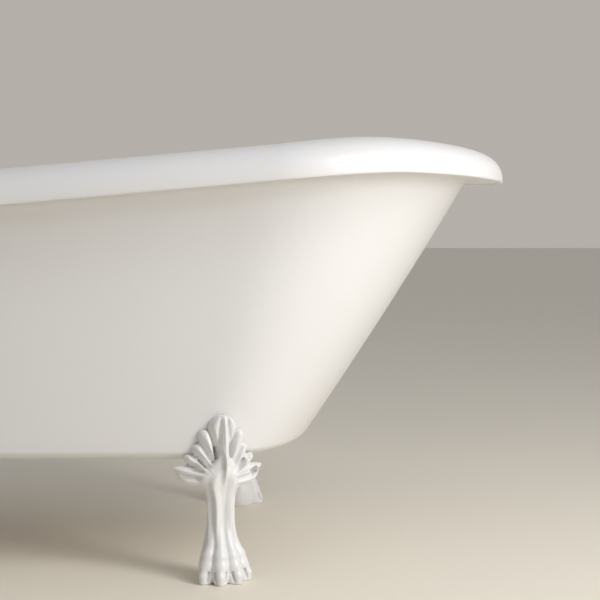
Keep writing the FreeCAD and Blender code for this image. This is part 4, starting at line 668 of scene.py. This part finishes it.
# ================================================================ carving of the feet, in mm
def smooth_line(stations, z):
    """Value along z, through (z, value) stations, with no kinks."""
    places, values = (np.array(column, float) for column in zip(*stations))
    slopes = np.gradient(values, places)
    z = np.clip(z, places[0], places[-1])
    step = np.clip(np.searchsorted(places, z, "right") - 1, 0, len(places) - 2)
    width = places[step + 1] - places[step]
    return hermite(values[step], values[step + 1], slopes[step] * width, slopes[step + 1] * width,
                   (z - places[step]) / width)


def blend_min(one, two, width):
    """Union of two fields with a fillet of about that width."""
    share = np.clip(0.5 + 0.5 * (two - one) / width, 0, 1)
    return two + (one - two) * share - width * share * (1 - share)


def blend_max(one, two, width):
    """What two fields share, with an eased edge of about that width."""
    return -blend_min(-one, -two, width)


def bone(start, end, start_r, end_r):
    """Field of a bone between two points, whose radius changes along it."""
    start, along = np.array(start, float), np.subtract(end, start)

    def field(x, y, z):
        px, py, pz = x - start[0], y - start[1], z - start[2]
        share = np.clip((px * along[0] + py * along[1] + pz * along[2]) / (along @ along), 0, 1)
        gap = np.sqrt((px - along[0] * share) ** 2 + (py - along[1] * share) ** 2
                      + (pz - along[2] * share) ** 2)
        return gap - (start_r + (end_r - start_r) * share)
    return field


def bore(middle_x, middle_y, radius, top_z):
    """Field of an upright round hole that ends at a height."""
    return lambda x, y, z: np.maximum(np.hypot(x - middle_x, y - middle_y) - radius, z - top_z)


def leaf_place(x, z, start, end, radii):
    """Where a point lies on a leaf: share along it, 0 on its midline to 1 on its edge, its radius."""
    along = np.subtract(end, start)
    px, pz = x - start[0], z - start[1]
    share = (px * along[0] + pz * along[1]) / (along @ along)
    held = np.clip(share, 0, 1)
    gap = np.hypot(px - along[0] * held, pz - along[1] * held)
    radius = smooth_line(radii, held)
    return share, gap / radius, radius


class Carving:
    """A field on a grid, negative inside the casting, and the mesh of its surface."""

    def __init__(self, box, step):
        low, high = box
        self.low, self.step = np.array(low, float), step
        counts = [int(math.ceil((b - a) / step)) + 1 for a, b in zip(low, high)]
        self.axes = [(a + step * np.arange(n)).astype(np.float32) for a, n in zip(low, counts)]
        self.field = np.full(counts, FAR, np.float32)

    def part(self, box):
        """Slices and coordinates of the grid inside a box."""
        slices = tuple(slice(max(0, int((a - o) / self.step)), int((b - o) / self.step) + 2)
                       for a, b, o in zip(*box, self.low))
        x, y, z = (axis[s] for axis, s in zip(self.axes, slices))
        return slices, x[:, None, None], y[None, :, None], z[None, None, :]

    def join(self, box, form, blend):
        """Adds a form, with a fillet."""
        inside, x, y, z = self.part(box)
        self.field[inside] = blend_min(self.field[inside], form(x, y, z), blend)

    def cut(self, box, form, blend):
        """Takes a form away, with an eased edge."""
        inside, x, y, z = self.part(box)
        self.field[inside] = blend_max(self.field[inside], -form(x, y, z), blend)

    def surface(self):
        """Points and quads of the surface, one point in each grid cell that it crosses."""
        inside = self.field < 0
        corners = list(itertools.product((0, 1), repeat=3))
        size = np.array(inside.shape) - 1
        filled = sum(inside[tuple(slice(o, o + n) for o, n in zip(corner, size))].astype(np.int8)
                     for corner in corners)
        cells = np.argwhere((filled > 0) & (filled < len(corners)))
        number = np.full(size, -1, np.int64)
        number[tuple(cells.T)] = np.arange(len(cells))
        points = self.low + (cells + self.crossings(cells, corners)) * self.step
        return points, self.quads(inside, number)

    def crossings(self, cells, corners):
        """Mean place in each cell, from 0 to 1, where the cell's edges cross the surface."""
        values = np.stack([self.field[tuple((cells + corner).T)] for corner in corners], 1)
        total, count = np.zeros((len(cells), 3)), np.zeros((len(cells), 1))
        for (a, one), (b, two) in itertools.combinations(enumerate(corners), 2):
            if np.abs(np.subtract(two, one)).sum() == 1:
                here, there = values[:, a:a + 1], values[:, b:b + 1]
                crossed = (here < 0) != (there < 0)
                share = np.where(crossed, here / np.where(crossed, here - there, 1), 0)
                total += np.where(crossed, np.array(one) + np.subtract(two, one) * share, 0)
                count += crossed
        return total / count

    def quads(self, inside, number):
        """A quad round every grid edge that the surface crosses, between its four cells' points."""
        faces = []
        for axis in range(3):
            u, v = (axis + 1) % 3, (axis + 2) % 3
            step_u, step_v = np.eye(3, dtype=int)[[u, v]]
            change = -np.diff(inside.astype(np.int8), axis=axis)
            for sign in (1, -1):
                spot = np.argwhere(change == sign)
                spot = spot[(spot[:, u] > 0) & (spot[:, v] > 0)
                            & (spot[:, u] < number.shape[u]) & (spot[:, v] < number.shape[v])]
                quad = [number[tuple((spot - back).T)]
                        for back in (0 * step_u, step_u, step_u + step_v, step_v)]
                faces.append(np.stack(quad[::sign], 1))
        return np.concatenate(faces)


# ================================================================ shape of the feet, in mm
def foot_turn(end):
    """Angle in radians that a near foot is turned by, to face its own end of the bath."""
    return math.radians(FOOT_TURN if end == "head" else -FOOT_TURN)


def wall_behind_foot(end, across, heights):
    """The bath wall's y in the frame of a near-side foot, on a grid across the foot and up it."""
    turn = foot_turn(end)
    rows = []
    for z in heights:
        line = outer_wall(max(float(z), BOTTOM_Z + CORNER_HEIGHT))
        x, y = line[:, 0] - FOOT_X[end], line[:, 1] + FOOT_Y
        local_x = x * math.cos(turn) + y * math.sin(turn)
        local_y = y * math.cos(turn) - x * math.sin(turn)
        close = (np.abs(local_x) < WALL_SEEN[0]) & (np.abs(local_y) < WALL_SEEN[1])
        order = np.argsort(local_x[close])
        rows.append(np.interp(across, local_x[close][order], local_y[close][order]))
    return np.stack(rows, 1)


def edge_of(plateau, depth_in):
    """Height of a leaf that rises steeply from its edge and rounds over into its face."""
    return blend_min(plateau, EDGE_STEEPNESS * depth_in, EDGE_ROUND)


def fan_body(side_x, z):
    """Height of the fan's body, under its leaves."""
    reach = np.hypot(side_x, z - FAN_CENTRE_Z) / FAN_HEIGHT
    return FAN_EDGE + (FAN_MIDDLE - FAN_EDGE) * np.clip(1 - reach, 0, 1) ** FAN_FALL


def side_leaves(side_x, z, body):
    """Height of the side leaves, and the outline field of the web between them."""
    relief, web = np.full(body.shape, -FAR), np.full(body.shape, FAR)
    for start, end, radii, rise, lift in SIDE_LEAVES:
        share, off, radius = leaf_place(side_x, z, start, end, radii)
        depth_in = (1 - off) * radius
        crown = rise * (1 - np.clip(off, 0, 1) ** CROWN_ROUND) * smooth_line(LEAF_CROWN, share)
        vein = VEIN_RISE * np.exp(-(off * radius / VEIN_HALF) ** 2)
        relief = np.maximum(relief, edge_of(body * lift + crown + vein - LEAF_SINK, depth_in))
        web = blend_min(web, -depth_in, WEB_BLEND)
    return relief, web


def plate_outline(side_x, z, web):
    """Outline field of the whole plate: the web, the wings' plates and the flanks of the leg."""
    _, off, radius = leaf_place(side_x, z, *WING_PLATE)
    web = blend_min(web, (off - 1) * radius, WEB_BLEND)
    wing = (side_x - smooth_line(WING_OUTLINE, z)) * WING_STEEPNESS
    web = blend_min(web, np.where(z < WING_TOP_Z, wing, FAR), WING_BLEND)
    return np.maximum(web, WING_LOW_Z - z)


def middle_leaf(side_x, z, body):
    """Height of the tall middle leaf."""
    half = smooth_line(MIDDLE_LEAF, z)
    off = side_x / np.maximum(half, LEAF_THINNEST)
    rounded = 1 - np.clip((off - PANEL_FLAT) / (1 - PANEL_FLAT), -1, 1) ** 2
    depth_in = np.minimum((half - side_x) * LEAF_SIDE_STEEPNESS,
                          (FAN_CENTRE_Z + FAN_HEIGHT - z) * LEAF_TOP_STEEPNESS)
    depth_in = np.where(z < LEAF_FOOT_Z, OUTSIDE, depth_in)
    return edge_of(body + PANEL_RISE * rounded + PANEL_LIFT, depth_in)


def keel(side_x, z):
    """Height of the rib up the middle leaf, with a groove along each side of it."""
    off = side_x / smooth_line(KEEL_HALF, z)
    groove = KEEL_GROOVE * np.exp(-((off - 1) / KEEL_GROOVE_HALF) ** 2)
    return smooth_line(KEEL_RISE, z) * (np.clip(1 - off, 0, 1) - groove) * (z > KEEL_LOW_Z)


def eyelet(side_x, z):
    """Height of the long eyelet between the leaves: a rim round a pit."""
    _, off, _ = leaf_place(side_x, z, EYELET_TOP, EYELET_LOW, EYELET_RADII)
    rim = EYELET_RIM * np.exp(-((off - EYELET_RIM_OFF) / EYELET_RIM_HALF) ** 2)
    return rim - EYELET_PIT * np.clip(1 - off * off, 0, 1)


def outside_window(side_x, z):
    """Distance from the edge of the tilted square window."""
    tilt = math.radians(WINDOW_TILT)
    dx, dz = side_x - WINDOW_X, z - WINDOW_Z
    across = np.abs(dx * math.cos(tilt) + dz * math.sin(tilt))
    up = np.abs(dz * math.cos(tilt) - dx * math.sin(tilt))
    return np.maximum(across, up) - WINDOW / 2


def fan_relief(x, z, outer_side):
    """Height of the fan's face over its back, on a grid; negative outside its outline.

    The window goes through the wing on the outer side.
    """
    side_x = np.abs(x)
    body = fan_body(side_x, z)
    relief, web = side_leaves(side_x, z, body)
    plate = edge_of(body * PLATE_SHARE * smooth_line(WING_FADE, z), -plate_outline(side_x, z, web))
    relief = np.maximum(blend_max(relief, plate, PLATE_BLEND), middle_leaf(side_x, z, body))
    relief = np.where(relief > KEEL_BASE, relief + keel(side_x, z), relief)
    relief = np.where(relief > EYELET_BASE, relief + eyelet(side_x, z), relief)
    pierced = np.minimum(relief, WINDOW_STEEPNESS * outside_window(side_x, z))
    return np.where(x * outer_side > 0, pierced, relief)


def fan_field(axes, end, axis_x):
    """Field of the fan over the whole grid, with its back along the bath's wall."""
    x, y, z = axes
    back = wall_behind_foot(end, x - axis_x, z) - FOOT_WALL_GAP
    relief = fan_relief(x[:, None].astype(float), z[None, :].astype(float),
                        1 if end == "head" else -1)
    y = y[None, :, None]
    fan = blend_max((y - back[:, None, :]) * BACK_STEEPNESS, (back - relief)[:, None, :] - y, FAN_RIM)
    steep = np.hypot(*np.gradient(relief, FIELD_STEP))[:, None, :]
    return fan / np.sqrt(1 + np.clip(steep, 0, STEEPEST) ** 2)


def leg_field(x, y, z):
    """Field of the leg with its tendons."""
    ahead = smooth_line(LEG_MIDDLE, z) - y
    radius = np.hypot(ahead, x)
    angle = np.degrees(np.arctan2(np.abs(x), ahead))
    depth = np.where(ahead > 0, smooth_line(LEG_FRONT, z), smooth_line(LEG_BACK, z))
    sine, cosine = x / (radius + TINY), ahead / (radius + TINY)
    surface = 1 / np.sqrt((sine / smooth_line(LEG_HALF, z)) ** 2 + (cosine / depth) ** 2)
    ridge = 0.0
    for crest, spread, rise in TENDONS:
        off = (angle - smooth_line(crest, z)) / spread
        share = np.clip(1 - np.sqrt(off * off + CREST_ROUND), TENDON_GROOVE, 1)
        ridge = ridge + smooth_line(rise, z) * share
    return (radius - surface - ridge) * LEG_STEEPNESS


def toe_bones(angle, size, joints):
    """Fields of a toe's bones; its joints are given as distance, height and radius."""
    turn = math.radians(angle)
    points = [(reach * size * math.sin(turn), -reach * size * math.cos(turn), z)
              for reach, z, _ in joints]
    radii = [radius * size for _, _, radius in joints]
    return [bone(*ends) for ends in zip(points, points[1:], radii, radii[1:])]


def claw_pit(angle, size, side):
    """Field of the pit along one side of a claw."""
    turn = math.radians(angle)
    out = np.array([math.sin(turn), -math.cos(turn)]) * size
    across = np.array([math.cos(turn), math.sin(turn)]) * size * side
    points = [(*(out * reach + across * aside), z) for reach, aside, z, _ in CLAW_PIT]
    return bone(*points, *(radius for *_, radius in CLAW_PIT))


def tongue(middle_x):
    """Field of the tongue that the foot's bolt goes up through."""
    middle_z = BOTTOM_Z - BRACKET - TONGUE / 2

    def field(x, y, z):
        straight = np.clip(y, TONGUE_BACK, TONGUE_REACH - TONGUE_WIDTH / 2)
        round_in = np.hypot(x - middle_x, y - straight) - TONGUE_WIDTH / 2
        return blend_max(round_in, np.abs(z - middle_z) - TONGUE / 2, TONGUE_EDGE)
    return field


def carve_foot(end):
    """One foot's casting in its own frame, facing -Y: leg, paw, fan of leaves and tongue."""
    axis_x = -SCULPT_SHIFT[end]   # of the bolt and the leveller, from the leg's middle
    carving = Carving(FOOT_BOX, FIELD_STEP)
    carving.join(LEG_BOX, leg_field, LEG_BLEND)
    for angle, size in TOES:
        for joints, blend in ((TOE_JOINTS, TOE_BLEND), (CLAW, CLAW_BLEND)):
            for field in toe_bones(angle, size, joints):
                carving.join(PAW_BOX, field, blend)
        for side in (-1, 1):
            carving.cut(CLAW_BOX, claw_pit(angle, size, side), PIT_BLEND)
    carving.join(HEEL_BOX, bone(*HEEL), HEEL_BLEND)
    fan = fan_field(carving.axes, end, axis_x)
    carving.field = blend_min(carving.field, fan, FAN_BLEND).astype(np.float32)
    carving.join(TONGUE_BOX, tongue(axis_x), TONGUE_BLEND)
    carving.cut(BOLT_BOX, bore(axis_x, FOOT_BOLT_BACK, FOOT_HOLE_R, FAR), HOLE_EDGE)
    pad = bore(axis_x, 0.0, PAD_POCKET_R, PAD_POCKET_HEIGHT)
    stud = bore(axis_x, 0.0, STUD_HOLE_R, STUD_TOP_Z)
    carving.cut(POCKET_BOX, lambda x, y, z: np.minimum(pad(x, y, z), stud(x, y, z)), HOLE_EDGE)
    carving.cut(FOOT_BOX, lambda x, y, z: z, SOLE_EDGE)   # takes off what lies under the floor
    points, faces, hollow_shade = eased(*carving.surface())
    return points - (axis_x, 0, 0), faces, hollow_shade


def eased(points, faces):
    """Takes the grid's terraces out of a surface, and tells how hollow it is at each point, for the painted
    shade in the hollows.
    """
    edges = np.concatenate([faces[:, [a, (a + 1) % 4]] for a in range(4)])
    edges = np.concatenate([edges, edges[:, ::-1]])
    count = np.bincount(edges[:, 0], minlength=len(points))[:, None]

    def average(values):
        return np.stack([np.bincount(edges[:, 0], values[edges[:, 1], i], len(points))
                         for i in range(values.shape[1])], 1) / count

    for share in EASING:
        points = points + (average(points) - points) * share
    points[:, 2] = np.where(points[:, 2] < SOLE_SNAP, 0.0, points[:, 2])
    face_normal = np.cross(points[faces[:, 2]] - points[faces[:, 0]],
                           points[faces[:, 3]] - points[faces[:, 1]])
    normal = np.stack([sum(np.bincount(faces[:, a], face_normal[:, i], len(points))
                           for a in range(4)) for i in range(3)], 1)
    normal /= np.linalg.norm(normal, axis=1, keepdims=True) + TINY
    around = points
    for _ in range(HOLLOW_REACH):
        around = average(around)
    # hollowness from 0 to 1, which darkens the enamel as painted shade
    hollow_shade = np.clip(np.sum((around - points) * normal, 1)[:, None] / HOLLOW_DEPTH, 0, 1)
    for _ in range(HOLLOW_SOFTENING):
        hollow_shade = average(hollow_shade)
    return points, faces, hollow_shade[:, 0]


def make_foot(end, side, carved):
    """A carved foot set at its corner of the bath; the far feet mirror the near ones."""
    points, faces, hollow_shade = carved
    turn = foot_turn(end)
    x = points[:, 0] * math.cos(turn) - points[:, 1] * math.sin(turn) + FOOT_X[end]
    y = points[:, 0] * math.sin(turn) + points[:, 1] * math.cos(turn) - FOOT_Y
    mirror = side == "far"
    placed = np.stack([x, -y if mirror else y, points[:, 2]], 1) * MM
    piece = new_piece("claw_foot_" + end + "_" + side, placed,
                      faces[:, ::-1] if mirror else faces, "white_cast")
    # how hollow each point is, for the enamel's painted shade in the hollows
    values = piece.data.attributes.new("hollow_shade", "FLOAT", "POINT")
    values.data.foreach_set("value", hollow_shade.astype(np.float32))
    return piece


# ================================================================ pieces
BASIN = make_basin()
OUTER_WALL = make_skin()
for piece, node in ((BASIN, "bath_inner_shell"), (OUTER_WALL, "bath_outer_skin")):
    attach(piece, "bath")
    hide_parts(node)
for end in ("head", "tap"):
    carved = carve_foot(end)
    for side in ("near", "far"):
        foot = make_foot(end, side, carved)
        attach(foot, "bath")
        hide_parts("foot_" + end + "_" + side)

for part in frame["record"]["subparts"]:
    node = frame["nodes"].get(part["node"])
    if node and not node.hide_render:
        node.data.materials.clear()
        node.data.materials.append(MATERIALS[part["material_slot"]])


# ================================================================ floor, light and camera
def make_floor():
    """Plain pale floor, far larger than the view."""
    mesh = bpy.data.meshes.new("floor")
    corners = [(-1, -1, 0), (1, -1, 0), (1, 1, 0), (-1, 1, 0)]
    mesh.from_pydata([(x * FLOOR_REACH, y * FLOOR_REACH, z) for x, y, z in corners], [], [(0, 1, 2, 3)])
    floor = bpy.data.objects.new("floor", mesh)
    bpy.context.scene.collection.objects.link(floor)
    shader = Shader("floor_screed")
    cloud = shader.noise(1.2)
    shader.set(Base_Color=shader.mix(cloud, rgb(0.86, 0.795, 0.68), rgb(0.90, 0.835, 0.72)),
               Roughness=cloud * 0.15 + 0.45)
    mesh.materials.append(shader.material)


def make_world():
    """Even light from all round, and a pale warm background behind the bath."""
    world = bpy.data.worlds.new("studio")
    bpy.context.scene.world = world
    nodes = Nodes(world)
    direction = nodes.add("ShaderNodeTexCoord", {}, {}, "Generated")
    height = nodes.add("ShaderNodeSeparateXYZ", {}, {"Vector": direction}, "Z")
    strength = nodes.add("ShaderNodeMapRange", {},
                         {"Value": height, "To Min": SIDE_SKY, "To Max": TOP_SKY})
    light = nodes.add("ShaderNodeBackground", {}, {"Color": SKY, "Strength": strength})
    backdrop = nodes.add("ShaderNodeBackground", {}, {"Color": BACKDROP})
    seen = 0.0
    for ray in ("Is Camera Ray", "Is Glossy Ray", "Is Transmission Ray"):
        seen = nodes.math("MAXIMUM", nodes.add("ShaderNodeLightPath", {}, {}, ray), seen)
    mix = nodes.add("ShaderNodeMixShader", {}, {0: seen, 1: light, 2: backdrop})
    nodes.feed(nodes.tree.nodes["World Output"].inputs["Surface"], mix)


def make_lamp(name, place, target, size, power):
    """Soft square lamp that points at a target."""
    lamp = bpy.data.lights.new(name, "AREA")
    lamp.shape, lamp.size, lamp.energy = "SQUARE", size, power
    holder = bpy.data.objects.new(name, lamp)
    holder.location = place
    holder.visible_camera = False
    holder.rotation_euler = (Vector(target) - Vector(place)).to_track_quat("-Z", "Y").to_euler()
    bpy.context.scene.collection.objects.link(holder)


def make_camera():
    """Camera at the photograph's own height and angle."""
    camera = bpy.data.cameras.new("camera")
    camera.lens, camera.sensor_width = LENS, SENSOR
    holder = bpy.data.objects.new("camera", camera)
    holder.location = CAMERA_PLACE
    holder.rotation_euler = (math.pi / 2 - CAMERA_DOWN, 0, 0)
    bpy.context.scene.collection.objects.link(holder)
    bpy.context.scene.camera = holder


make_floor()
make_world()
for lamp in LAMPS:
    make_lamp(*lamp)
make_camera()
bpy.context.scene.view_settings.view_transform = "Standard"
